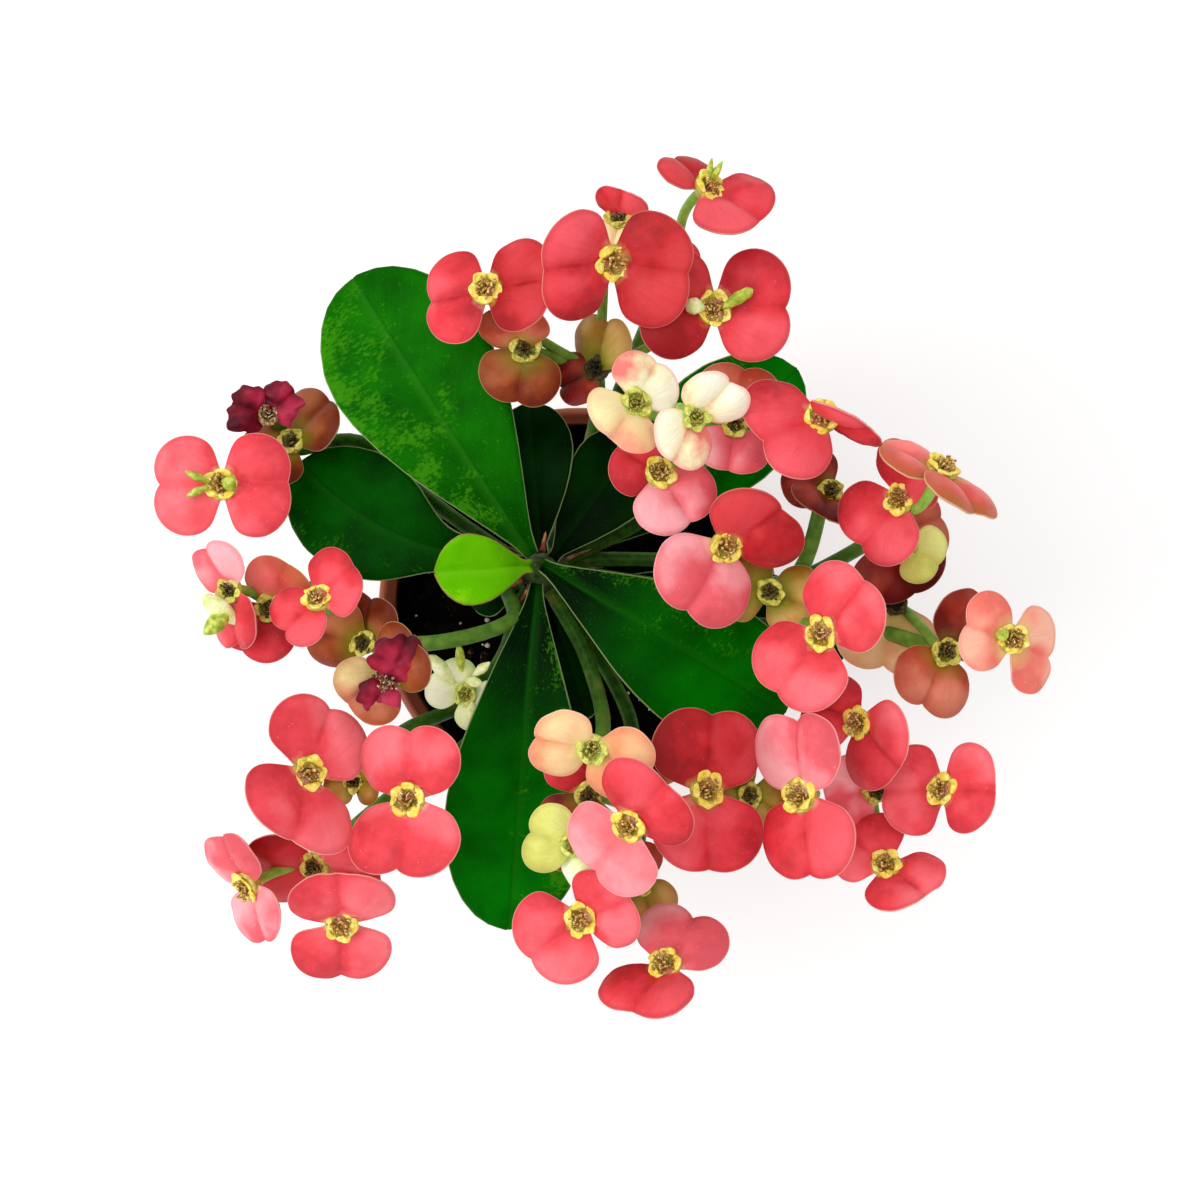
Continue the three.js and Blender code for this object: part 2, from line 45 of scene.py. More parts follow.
pot_profile = [
    (14, 0.8), (22, 0.8), (23, 0), (42.8, 0), (44.3, 0.4), (45, 1.6), (45.6, 5.0), (49.7, 30),
    (49.95, 30.4), (50.0, 31.6), (50.0, 32.2), (55.0, 62), (60.0, 93.6), (60.6, 94.6),
    (62.9, 95.5), (63.5, 96.1), (63.65, 97.3), (64.8, 115.6), (64.95, 117.0), (64.5, 117.8),
    (63.9, 118), (63.2, 117.9), (62.6, 117.2), (62.4, 115.6), (61.5, 99.4), (61.0, 98.3),
    (58.8, 97.0), (58.1, 95.5), (43.4, 3.4), (42.6, 2.3), (40.8, 2), (14, 2),
]
slot_ring, slot_size, slot_number, slot_bevel = 31, (13, 3.6, 8), 8, 1.2


def select_only(*pieces):
    """Selects these pieces and nothing else, and makes the first one active for an operator."""
    bpy.ops.object.select_all(action="DESELECT")
    for piece in pieces:
        piece.select_set(True)
    bpy.context.view_layer.objects.active = pieces[0]


def joined(name, pieces):
    """Joins pieces to one, in order."""
    select_only(*pieces)
    if len(pieces) > 1:
        bpy.ops.object.join()
    piece = bpy.context.object
    piece.name = piece.data.name = name
    return piece


def turned_piece(name, profile, segments):
    """A round shell, drawn from one (radius, height) ring to the next and closed at both ends."""
    bpy.ops.object.select_all(action="DESELECT")
    radius, height = profile[0]
    bpy.ops.mesh.primitive_circle_add(
        vertices=segments, radius=radius * mm, location=(0, 0, height * mm))
    piece = bpy.context.object
    piece.name = piece.data.name = name
    bpy.ops.object.transform_apply(location=True)
    bpy.ops.object.mode_set(mode="EDIT")
    bpy.ops.mesh.select_all(action="SELECT")
    bpy.ops.mesh.edge_face_add()
    bpy.ops.mesh.select_all(action="SELECT")
    for next_radius, next_height in profile[1:]:
        bpy.ops.mesh.extrude_region_move(
            TRANSFORM_OT_translate={"value": (0, 0, (next_height - height) * mm)})
        grow = next_radius / radius
        bpy.ops.transform.resize(value=(grow, grow, 1), center_override=(0, 0, next_height * mm))
        radius, height = next_radius, next_height
    bpy.ops.mesh.select_all(action="SELECT")
    bpy.ops.mesh.normals_make_consistent(inside=False)
    bpy.ops.object.mode_set(mode="OBJECT")
    return piece


def linear(hex_colour):
    """An sRGB colour in hex, turned to the linear values that the shader takes."""
    parts = [int(hex_colour[start:start + 2], 16) / 255 for start in (1, 3, 5)]
    return tuple(
        p / 12.92 if p <= 0.04045 else ((p + 0.055) / 1.055) ** 2.4 for p in parts) + (1.0,)


def add_node(material, kind, inputs=None, give=0, stops=None, **settings):
    """Adds one shader node with its settings, values and links, and gives an output back."""
    made = material.node_tree.nodes.new("ShaderNode" + kind)
    for name, value in settings.items():
        setattr(made, name, value)
    for socket, value in (inputs or {}).items():
        if isinstance(value, bpy.types.NodeSocket):
            material.node_tree.links.new(value, made.inputs[socket])
        else:
            made.inputs[socket].default_value = value
    for index, (position, colour) in enumerate(stops or []):
        elements = made.color_ramp.elements
        element = elements[index] if index < 2 else elements.new(position)
        element.position, element.color = position, colour
    return made.outputs[give] if len(made.outputs) else made


def new_material(name):
    """A material with nothing in it yet."""
    material = bpy.data.materials.new(name)
    material.use_nodes = True
    material.node_tree.nodes.clear()
    return material


def grey(value):
    """A grey given as the share of light that it sends back."""
    return (value, value, value, 1.0)


def moulded_polypropylene():
    # Moulded polypropylene: an even, slightly waxy terracotta colour with a fine eroded mould
    # texture, faint flow streaks down the wall and a bloom of dust and dried water near the foot.
    m = new_material("moulded_polypropylene")
    place = add_node(m, "TexCoord", give="Object")
    grain = add_node(m, "TexNoise", {"Vector": place, "Scale": 1 / (0.5 * mm), "Detail": 2.0})
    cloud = add_node(m, "TexNoise", {"Vector": place, "Scale": 1 / (26 * mm), "Detail": 4.0})
    long = add_node(m, "Mapping", {"Vector": place, "Scale": (1, 1, 0.05)})
    streak = add_node(m, "TexNoise", {"Vector": long, "Scale": 1 / (3 * mm), "Detail": 3.0})
    body = add_node(m, "ValToRGB", {"Fac": cloud}, stops=[
        (0.3, linear("#9a4c33")), (0.7, linear("#b9643f"))])
    streaked = add_node(m, "MixRGB", {"Fac": 0.22, "Color1": body, "Color2": streak},
                        blend_type="SOFT_LIGHT")
    low = add_node(m, "SeparateXYZ", {"Vector": place}, give="Z")
    foot = add_node(m, "MapRange", {
        "Value": low, "From Min": 0.05, "From Max": 0.0, "To Max": 0.5})
    dusty = add_node(m, "Math", {0: foot, 1: cloud}, operation="MULTIPLY")
    colour = add_node(m, "MixRGB", {
        "Fac": dusty, "Color1": streaked, "Color2": linear("#cdb39a")})
    rough = add_node(m, "MapRange", {"Value": cloud, "To Min": 0.42, "To Max": 0.62})
    bump = add_node(m, "Bump", {"Height": grain, "Strength": 0.25, "Distance": 0.15 * mm})
    shader = add_node(m, "BsdfPrincipled", {
        "Base Color": colour, "Roughness": rough, "Normal": bump, "IOR": 1.49,
        "Subsurface Weight": 0.05, "Subsurface Scale": 0.001})
    add_node(m, "OutputMaterial", {"Surface": shader})
    return m


def dress(piece, material, nodes, soft_angle=None):
    """Gives a finished piece its material and smooth shading, hangs it on the root body and hides
    the CAD nodes that it stands for.
    """
    if material:
        piece.data.materials.clear()
        piece.data.materials.append(material)
    select_only(piece)
    if soft_angle is None:
        bpy.ops.object.shade_smooth()
    else:
        bpy.ops.object.shade_smooth_by_angle(angle=math.radians(soft_angle))
    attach(piece, "root")
    if nodes:
        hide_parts(*nodes)
    return piece


pot = turned_piece("nursery_pot", pot_profile, pot_segments)
bpy.ops.object.select_all(action="DESELECT")
slot_cutters = []
for number in range(slot_number):
    turn = 2 * math.pi * number / slot_number
    bpy.ops.mesh.primitive_cube_add(
        size=1, location=(slot_ring * mm * math.cos(turn), slot_ring * mm * math.sin(turn), 0),
        rotation=(0, 0, turn), scale=[side * mm for side in slot_size])
    bpy.ops.object.transform_apply(location=True, rotation=True, scale=True)
    bpy.ops.object.mode_set(mode="EDIT")
    bpy.ops.mesh.select_all(action="SELECT")
    bpy.ops.mesh.bevel(offset=slot_bevel * mm, segments=3, affect="EDGES")
    bpy.ops.object.mode_set(mode="OBJECT")
    slot_cutters.append(bpy.context.object)
cutter = joined("slot_cutters", slot_cutters[::-1])
select_only(pot)
cut = pot.modifiers.new("drain_slots", "BOOLEAN")
cut.object, cut.operation, cut.solver = cutter, "DIFFERENCE", "EXACT"
bpy.ops.object.modifier_apply(modifier=cut.name)
bpy.data.objects.remove(cutter)
dress(pot, moulded_polypropylene(), ["pot"], soft_angle=32)

# ---- potting soil ----
# A dark mix of peat and composted bark, poured in round the stem and pressed down to a finger's
# breadth below the rim. Its top is crumbly, a little higher at the stem.
soil_top, soil_mound, soil_radius = 101.4, 1.0, 61
outer_ring, ring_gap, ring_number, soil_segments = 60.4, 1.5, 39, 144
rough_above, rough_within = 100.9, 60.2
clod_sizes_and_heights = [(7, 0.9), (2.6, 0.55), (1.1, 0.25)]
stem_spot, stem_clearance = (-5.5, 6.5), 9


def pressed_height(distance):
    """The height of the pressed soil, in mm, so far from the middle of the pot."""
    return soil_top + soil_mound * (1 - distance / soil_radius)


def soil_height(x, y):
    """The height of the soil's crumbly top, in mm, at a place in mm."""
    place = Vector((x, y, 0))
    height = pressed_height(math.hypot(x, y))
    for size, rise in clod_sizes_and_heights:
        height += rise * noise.noise(place / size)
    return height


def peat_mix():
    # Peat and fine bark: dark when damp, and painted nearly black as the shade under the rosette,
    # with brown fibres and paler crumbs.
    m = new_material("peat_mix")
    place = add_node(m, "TexCoord", give="Object")
    crumb = add_node(m, "TexVoronoi", {"Vector": place, "Scale": 1 / (1.6 * mm)}, give="Distance")
    cell = add_node(m, "TexVoronoi", {"Vector": place, "Scale": 1 / (1.6 * mm)}, give="Color")
    clump = add_node(m, "TexNoise", {"Vector": place, "Scale": 1 / (5 * mm), "Detail": 5.0})
    tone = add_node(m, "MixRGB", {"Fac": 0.6, "Color1": cell, "Color2": clump})
    # Partly painted shade: the peat's browns are taken down to near-black, as in the rosette's
    # shade.
    colour = add_node(m, "ValToRGB", {"Fac": tone}, stops=[
        (0.3, linear("#010100")), (0.72, linear("#0a0705")), (0.56, linear("#040302")),
        (0.9, linear("#4a3a2a"))])
    fine = add_node(m, "TexNoise", {"Vector": place, "Scale": 1 / (0.7 * mm), "Detail": 3.0})
    height = add_node(m, "Math", {0: crumb, 1: fine}, operation="ADD")
    bump = add_node(m, "Bump", {"Height": height, "Strength": 0.9, "Distance": 0.7 * mm})
    shader = add_node(m, "BsdfPrincipled", {
        "Base Color": colour, "Roughness": 0.95, "Normal": bump, "Specular IOR Level": 0.04})
    add_node(m, "OutputMaterial", {"Surface": shader})
    return m


soil_rings = [outer_ring - ring_gap * step for step in range(ring_number)]
soil = turned_piece("peat_soil", [(42.0, 2.3), (57.5, 96.6), (60.3, 99.3), (60.8, 100.2)] + [
    (radius, pressed_height(radius)) for radius in soil_rings], soil_segments)
for vertex in soil.data.vertices:
    x, y, z = vertex.co / mm
    if z > rough_above and math.hypot(x, y) < rough_within:
        vertex.co.z = soil_height(x, y) * mm
dress(soil, peat_mix(), ["potting_soil"])


# Pine bark chips, perlite and wood crumbs lie loose on the soil. Each kind is made once as a small
# chunk and strewn in many copies, half pressed in.
# A chunk is knocked by a share of its size, turned by any angle and sloped by chance, in radians.
knock, knock_scale, any_turn, slope = 0.55, 2.3, 6.3, 0.3


def chunk(name, stretch, seed, detail):
    """One irregular chunk, in metres: a ball of few faces, knocked out of shape."""
    bpy.ops.object.select_all(action="DESELECT")
    bpy.ops.mesh.primitive_ico_sphere_add(subdivisions=detail, radius=0.5)
    piece = bpy.context.object
    piece.name = piece.data.name = name
    for vertex in piece.data.vertices:
        push = 1 + knock * noise.noise(vertex.co * knock_scale + Vector((seed, 7, 1)))
        vertex.co = Vector(c * s * mm * push for c, s in zip(vertex.co, stretch))
    return piece


def copy_of(master):
    """A copy of a master with a mesh of its own."""
    copy = master.copy()
    copy.data = master.data.copy()
    bpy.context.collection.objects.link(copy)
    return copy


def strewn(name, masters, count, sizes, seed, reach, sink):
    """Copies of the masters strewn on the soil round the stem, joined as one piece."""
    chance = random.Random(seed)
    copies = []
    while len(copies) < count:
        distance = reach * math.sqrt(chance.random())
        heading = chance.uniform(0, 2 * math.pi)
        x, y = distance * math.cos(heading), distance * math.sin(heading)
        if math.hypot(x - stem_spot[0], y - stem_spot[1]) < stem_clearance:
            continue
        grow = chance.uniform(*sizes)
        turn = Matrix.Rotation(chance.uniform(0, any_turn), 4, "Z") @ Matrix.Rotation(
            chance.gauss(0, slope), 4, "X") @ Matrix.Rotation(chance.gauss(0, slope), 4, "Y")
        spot = Vector((x, y, soil_height(x, y) + sink * grow)) * mm
        copy = copy_of(chance.choice(masters))
        copy.data.transform(Matrix.Translation(spot) @ turn @ Matrix.Scale(grow, 4))
        copies.append(copy)
    return joined(name, copies)


def crumbly(name, dark, light, spot, grain):
    # Broken bits of bark or of expanded volcanic glass: dull, in layers a grain apart, with worn,
    # paler patches. The layers are drawn coarser than the real ones, so that they show.
    m = new_material(name)
    place = add_node(m, "TexCoord", give="Object")
    layers = add_node(m, "Mapping", {
        "Vector": place, "Scale": (1, 1, 3), "Rotation": (0.4, 0.3, 0)})
    band = add_node(m, "TexNoise", {"Vector": layers, "Scale": 1 / (grain * mm), "Detail": 4.0})
    island = add_node(m, "TexNoise", {"Vector": place, "Scale": 1 / (9 * mm), "Detail": 1.0})
    mixed = add_node(m, "MixRGB", {"Fac": 0.5, "Color1": band, "Color2": island})
    colour = add_node(m, "ValToRGB", {"Fac": mixed}, stops=[
        (0.36, linear(dark)), (0.62, linear(light)), (0.72, linear(spot))])
    bump = add_node(m, "Bump", {"Height": band, "Strength": 0.7, "Distance": 0.4 * mm})
    shader = add_node(m, "BsdfPrincipled", {
        "Base Color": colour, "Roughness": 0.85, "Normal": bump, "Specular IOR Level": 0.06})
    add_node(m, "OutputMaterial", {"Surface": shader})
    return m


chips = [chunk(f"chip_{n}", stretch, seed=3.1 * n, detail=2) for n, stretch in enumerate(
    [(1.0, 0.55, 0.28), (1.0, 0.4, 0.35), (0.8, 0.7, 0.22)])]
bark_chips = strewn("pine_bark_chips", chips, count=190, sizes=(3.0, 9.5), seed=4, reach=57,
                    sink=0.06)
# Partly painted shade: the bark chips' brown is painted nearly black as the shade under the
# rosette; only their pale spots stay.
dress(bark_chips, crumbly("pine_bark_chip", "#020101", "#0e0805", "#6a4c30", 1.4),
      ["potting_soil"], soft_angle=35)
grains = [chunk(f"grain_{n}", (1, 0.85, 0.75), seed=5.7 * n + 2, detail=1) for n in range(3)]
perlite = strewn("perlite_grains", grains, count=150, sizes=(0.7, 2.3), seed=9, reach=58.5,
                 sink=0.25)
dress(perlite, crumbly("perlite", "#8f8672", "#d9d2bd", "#f4efe0", 0.9),
      ["potting_soil"])
for master in chips + grains:
    bpy.data.objects.remove(master)

# ---- main stem ----
# The woody stem of a spiny succulent shrub: grey-brown bark with angled ribs, leaf scars and fine
# cracks, green again in its youngest centimetres, where the leaves and flower stalks leave it.
stem_foot, stem_top = Vector((-3, 4, 66)), Vector((-11.3, 12.3, 188))
stem_radius, stem_tip_radius, stem_taper_start = 7.0, 4.4, 0.86
stem_ring_gap, stem_ring_number, stem_segments = 1.22, 99, 40
tip_start, tip_end, tip_left = 168.0, 187.2, 0.1
golden_angle = 137.5
first_scar, first_heading, scar_rise, scar_number = 104.0, 52.5, 1.6, 50
scar_swell, scar_width, scar_height, scar_reach = 0.14, 16, 1.3, 4
rib_number, rib_twist, rib_swell, bark_swell = 8, 5, 0.03, 0.05


def stem_axis(height):
    """The middle of the leaning stem at a height, all in mm."""
    return stem_foot.lerp(stem_top, (height - stem_foot.z) / (stem_top.z - stem_foot.z))


def bark_radius(height):
    """The stem's plain radius at a height, which shrinks in its youngest part."""
    share = (height - stem_foot.z) / (stem_top.z - stem_foot.z)
    taper = max(0.0, (share - stem_taper_start) / (1 - stem_taper_start))
    return stem_radius + (stem_tip_radius - stem_radius) * taper


def heading_vector(heading):
    """A level direction, so many degrees round from the right."""
    return Vector((math.cos(math.radians(heading)), math.sin(math.radians(heading)), 0))


def scar_places():
    """Height and heading of each leaf scar, in the stem's spiral."""
    return [(first_scar + n * scar_rise, (n * golden_angle + first_heading) % 360)
            for n in range(scar_number)]


def woody_bark():
    # Thin cork over green: ash-grey with brown cracks along the stem, and leaf-green at the tip.
    m = new_material("woody_bark")
    place = add_node(m, "TexCoord", give="Object")
    along = add_node(m, "Mapping", {"Vector": place, "Scale": (1, 1, 0.22)})
    crack = add_node(m, "TexNoise", {"Vector": along, "Scale": 1 / (1.5 * mm), "Detail": 6.0})
    patch = add_node(m, "TexNoise", {"Vector": place, "Scale": 1 / (7 * mm), "Detail": 3.0})
    cork = add_node(m, "ValToRGB", {"Fac": crack}, stops=[
        (0.34, linear("#2a1c12")), (0.7, linear("#9a876c")), (0.48, linear("#6b5640"))])
    lichen = add_node(m, "MixRGB", {"Fac": patch, "Color1": cork, "Color2": linear("#7d7a5a")})
    green = add_node(m, "ValToRGB", {"Fac": crack}, stops=[
        (0.3, linear("#163006")), (0.75, linear("#3c6414"))])
    high = add_node(m, "SeparateXYZ", {"Vector": place}, give="Z")
    young = add_node(m, "MapRange", {"Value": high, "From Min": 0.158, "From Max": 0.178})
    colour = add_node(m, "MixRGB", {"Fac": young, "Color1": lichen, "Color2": green})
    bump = add_node(m, "Bump", {"Height": crack, "Strength": 0.8, "Distance": 0.5 * mm})
    shader = add_node(m, "BsdfPrincipled", {
        "Base Color": colour, "Roughness": 0.78, "Normal": bump, "Specular IOR Level": 0.3})
    add_node(m, "OutputMaterial", {"Surface": shader})
    return m


def tip_narrowing(height):
    """How much of the bark's radius is left in the soft growing tip."""
    return 1 - (1 - tip_left) * max(0.0, (height - tip_start) / (tip_end - tip_start)) ** 0.8


stem_heights = [stem_foot.z + stem_ring_gap * step for step in range(stem_ring_number)]
stem_heights += [tip_end - 0.6, tip_end]
stem = turned_piece("woody_stem", [
    (bark_radius(h) * tip_narrowing(h), h) for h in stem_heights], stem_segments)
scars = scar_places()
for vertex in stem.data.vertices:
    x, y, z = vertex.co / mm
    centre = stem_axis(z)
    heading = math.degrees(math.atan2(y, x))
    grow = 1 + rib_swell * math.cos(math.radians(rib_number * heading + rib_twist * z))
    grow += bark_swell * noise.noise(Vector((x / 3, y / 3, z / 9)))
    for height, scar_heading in scars:
        if abs(z - height) < scar_reach:
            apart = (heading - scar_heading + 180) % 360 - 180
            grow += scar_swell * math.exp(
                -(apart / scar_width) ** 2 - ((z - height) / scar_height) ** 2)
    vertex.co = Vector((centre.x + x * grow, centre.y + y * grow, z)) * mm
dress(stem, woody_bark(), ["main_stem"])

# ---- spines ----
# Each leaf leaves a pair of hard, sharp spines, which were its stipules: grey-brown and dry low on
# the stem, maroon and tan near the growing tip. They grow out of the bark.
spine_rings = [
    (1.25, -1.2), (0.95, 0), (0.72, 2.0), (0.55, 4.4), (0.36, 7.0), (0.16, 9.2), (0.03, 10.2)]
spine_sides, spine_seed, spine_lift = 7, 22, 0.2
spine_bend, spine_length, spine_sizes = 0.9, 10, (0.62, 1.02)
pair_spread, pair_rise, bare_above = 14, 0.22, 168
spread_play, rise_play = (-5, 5), (-0.2, 0.25)
# The two young pairs that show beside the growing tip: height, heading, spread and rise.
tip_pairs = [(176.5, 92, 15, 0.5), (174.0, 226, 18, 0.25)]


def horny_spine():
    # Hardened plant tissue: smooth and a little glossy, dull and grey when old.
    m = new_material("horny_spine")
    place = add_node(m, "TexCoord", give="Object")
    patch = add_node(m, "TexNoise", {"Vector": place, "Scale": 1 / (4 * mm), "Detail": 4.0})
    old = add_node(m, "ValToRGB", {"Fac": patch}, stops=[
        (0.35, linear("#4a3828")), (0.68, linear("#a08c72"))])
    new = add_node(m, "ValToRGB", {"Fac": patch}, stops=[
        (0.4, linear("#7a1812")), (0.62, linear("#c08a5c")), (0.52, linear("#8e3424"))])
    high = add_node(m, "SeparateXYZ", {"Vector": place}, give="Z")
    young = add_node(m, "MapRange", {"Value": high, "From Min": 0.148, "From Max": 0.172})
    colour = add_node(m, "MixRGB", {"Fac": young, "Color1": old, "Color2": new})
    bump = add_node(m, "Bump", {"Height": patch, "Strength": 0.3, "Distance": 0.2 * mm})
    shader = add_node(m, "BsdfPrincipled", {
        "Base Color": colour, "Roughness": 0.48, "Normal": bump})
    add_node(m, "OutputMaterial", {"Surface": shader})
    return m


spine = turned_piece("spine", spine_rings, spine_sides)
for vertex in spine.data.vertices:
    vertex.co.x += spine_bend * mm * (max(0.0, vertex.co.z) / (spine_length * mm)) ** 2
chance = random.Random(spine_seed)
pairs = [(h, a, pair_spread, pair_rise) for h, a in scars if h < bare_above]
spines = []
for height, heading, spread, rise in pairs + tip_pairs:
    for side in (-1, 1):
        toward = heading_vector(heading + side * (spread + chance.uniform(*spread_play)))
        outward = (toward + Vector((0, 0, rise + chance.uniform(*rise_play)))).normalized()
        foot = stem_axis(height) + toward * (bark_radius(height) + spine_lift)
        copy = copy_of(spine)
        copy.data.transform(
            Matrix.Translation(foot * mm) @ outward.to_track_quat("Z", "X").to_matrix().to_4x4()
            @ Matrix.Rotation(chance.uniform(0, any_turn), 4, "Z")
            @ Matrix.Scale(chance.uniform(*spine_sizes), 4))
        spines.append(copy)
bpy.data.objects.remove(spine)
dress(joined("stem_spines", spines), horny_spine(), ["main_stem"])

# ---- leaves ----
# Eleven smooth, leathery blades in a rosette at the tip of the stem, each broad near its end and
# narrowed to a short stalk, with a sunken midrib, a thin pale margin and a tiny point.
# Each row: piece, finish, height and heading where it leaves the stem, how far its foot lies from
# the stem's middle, tip, breadth, arch, fold, seed and, where it isn't plain, how much narrower
# its neck is and how far it bows sideways.
leaf_rows = [
    ("back_left_large", "bright", 182, 112, 3.6, (-62.5, 93.5, 190), 46, 16, 0.12, 1),
    ("left", "dark", 173, 156, 5.0, (-81, 43, 170), 37, 8, 0.12, 2, 0.4, -15),
    ("young", "young", 186, 187, 1.4, (-38, 10, 202), 20, 4, 0.35, 3),
    ("back", "shaded", 176, 80, 4.6, (-13, 60, 174), 23, 8, 0.12, 4),
    ("back_right_short", "shaded", 174, 40, 4.8, (20, 50, 172), 27, 8, 0.12, 5),
    ("right_large", "waxy", 183, 12, 1.6, (61, -31, 176), 40, 15, 0.12, 6),
    ("front_large", "waxy", 178, -98, 4.6, (-20, -95, 170), 41, 20, 0.12, 7),
    ("front_narrow", "shaded", 163, -84, 6.6, (3.5, -34, 156), 14, 6, 0.12, 8),
    ("left_under", "shaded", 163, 190, 6.6, (-32, 1, 160), 13, 4, 0.12, 9),
    ("back_right_large", "waxy", 155, 44, 7.0, (66, 71, 164), 38, 8, 0.12, 10),
    ("right_under", "shaded", 144, -14, 7.0, (82, -14, 151), 36, 4, 0.12, 11),
]
blade_outline = [
    (0, 0.08), (0.06, 0.15), (0.13, 0.27), (0.2, 0.4), (0.3, 0.58), (0.4, 0.75), (0.5, 0.88),
    (0.6, 0.97), (0.68, 1.0), (0.77, 0.96), (0.85, 0.83), (0.91, 0.67), (0.955, 0.48),
    (0.985, 0.27), (1, 0.04)]
# The rows of the blade's mesh crowd towards its tip. Lengths are in mm, and places along the blade
# are shares of its length.
blade_columns, blade_rows, crowding, blade_thickness = 14, 40, 1.35, 0.75
petiole_half, point_half = 1.7, 0.25
neck_place, neck_spread = 0.3, 0.16
groove_depth, groove_width, tip_droop = 0.4, 0.9, 0.9
edge_wave, edge_wave_share, surface_wave, breadth_wave = 1.4, 0.08, 0.35, 0.05

def along_table(table, share):
    """The value of a table of (share, value) rows at a share, in a straight line between rows."""
    for (low, start), (high, end) in zip(table, table[1:]):
        if share <= high:
            part = (share - low) / (high - low)
            return start + (end - start) * part
    return table[-1][1]


def float_attribute(mesh, name, values):
    """Writes one number for each point of a mesh, for a material to read."""
    attribute = mesh.attributes.get(name) or mesh.attributes.new(name, "FLOAT", "POINT")
    attribute.data.foreach_set("value", values)


def shape_leaf(piece, height, heading, inner, tip, breadth, arch, fold, seed, neck=0.0, bow=0.0):
    """Bends a flat grid to a blade from the stem to its tip, and notes how far each point lies
    from the margin and from the midrib, in mm."""
    foot = stem_axis(height) + heading_vector(heading) * inner
    tip = Vector(tip)
    crown = foot.lerp(tip, 0.5)
    crown.z = (foot.z + tip.z) / 2 + arch
    crown += (tip - foot).cross(Vector((0, 0, 1))).normalized() * bow
    margin, rib = [], []
    for vertex in piece.data.vertices:
        share = 1 - (1 - (vertex.co.y + 0.5)) ** crowding
        side = 2 * vertex.co.x
        place = (1 - share) ** 2 * foot + 2 * share * (1 - share) * crown + share ** 2 * tip
        along = (2 * (1 - share) * (crown - foot) + 2 * share * (tip - crown)).normalized()
        across = along.cross(Vector((0, 0, 1))).normalized()
        up = across.cross(along)
        half = max(0.5 * breadth * along_table(blade_outline, share),
                   petiole_half * (1 - share) + point_half)
        half *= 1 + breadth_wave * noise.noise(Vector((share * 3, side * 0.6 + seed, seed)))
        half *= 1 - neck * math.exp(-((share - neck_place) / neck_spread) ** 2)
        edge = abs(side) ** 3
        wave = noise.noise(Vector((share * 5 + seed, math.copysign(2, side) * abs(side), seed)))
        lift = abs(side) * half * fold + edge * wave * min(edge_wave, half * edge_wave_share)
        lift += surface_wave * noise.noise(Vector((share * 6, side * 2, seed + 5.5)))
        lift -= groove_depth * math.exp(-(side * half / groove_width) ** 2) * (1 - 0.5 * share)
        lift -= tip_droop * share ** 6
        vertex.co = (place + across * side * half + up * lift) * mm
        margin.append((1 - abs(side)) * half)
        rib.append(abs(side) * half)
    float_attribute(piece.data, "from_margin", margin)
    float_attribute(piece.data, "from_midrib", rib)


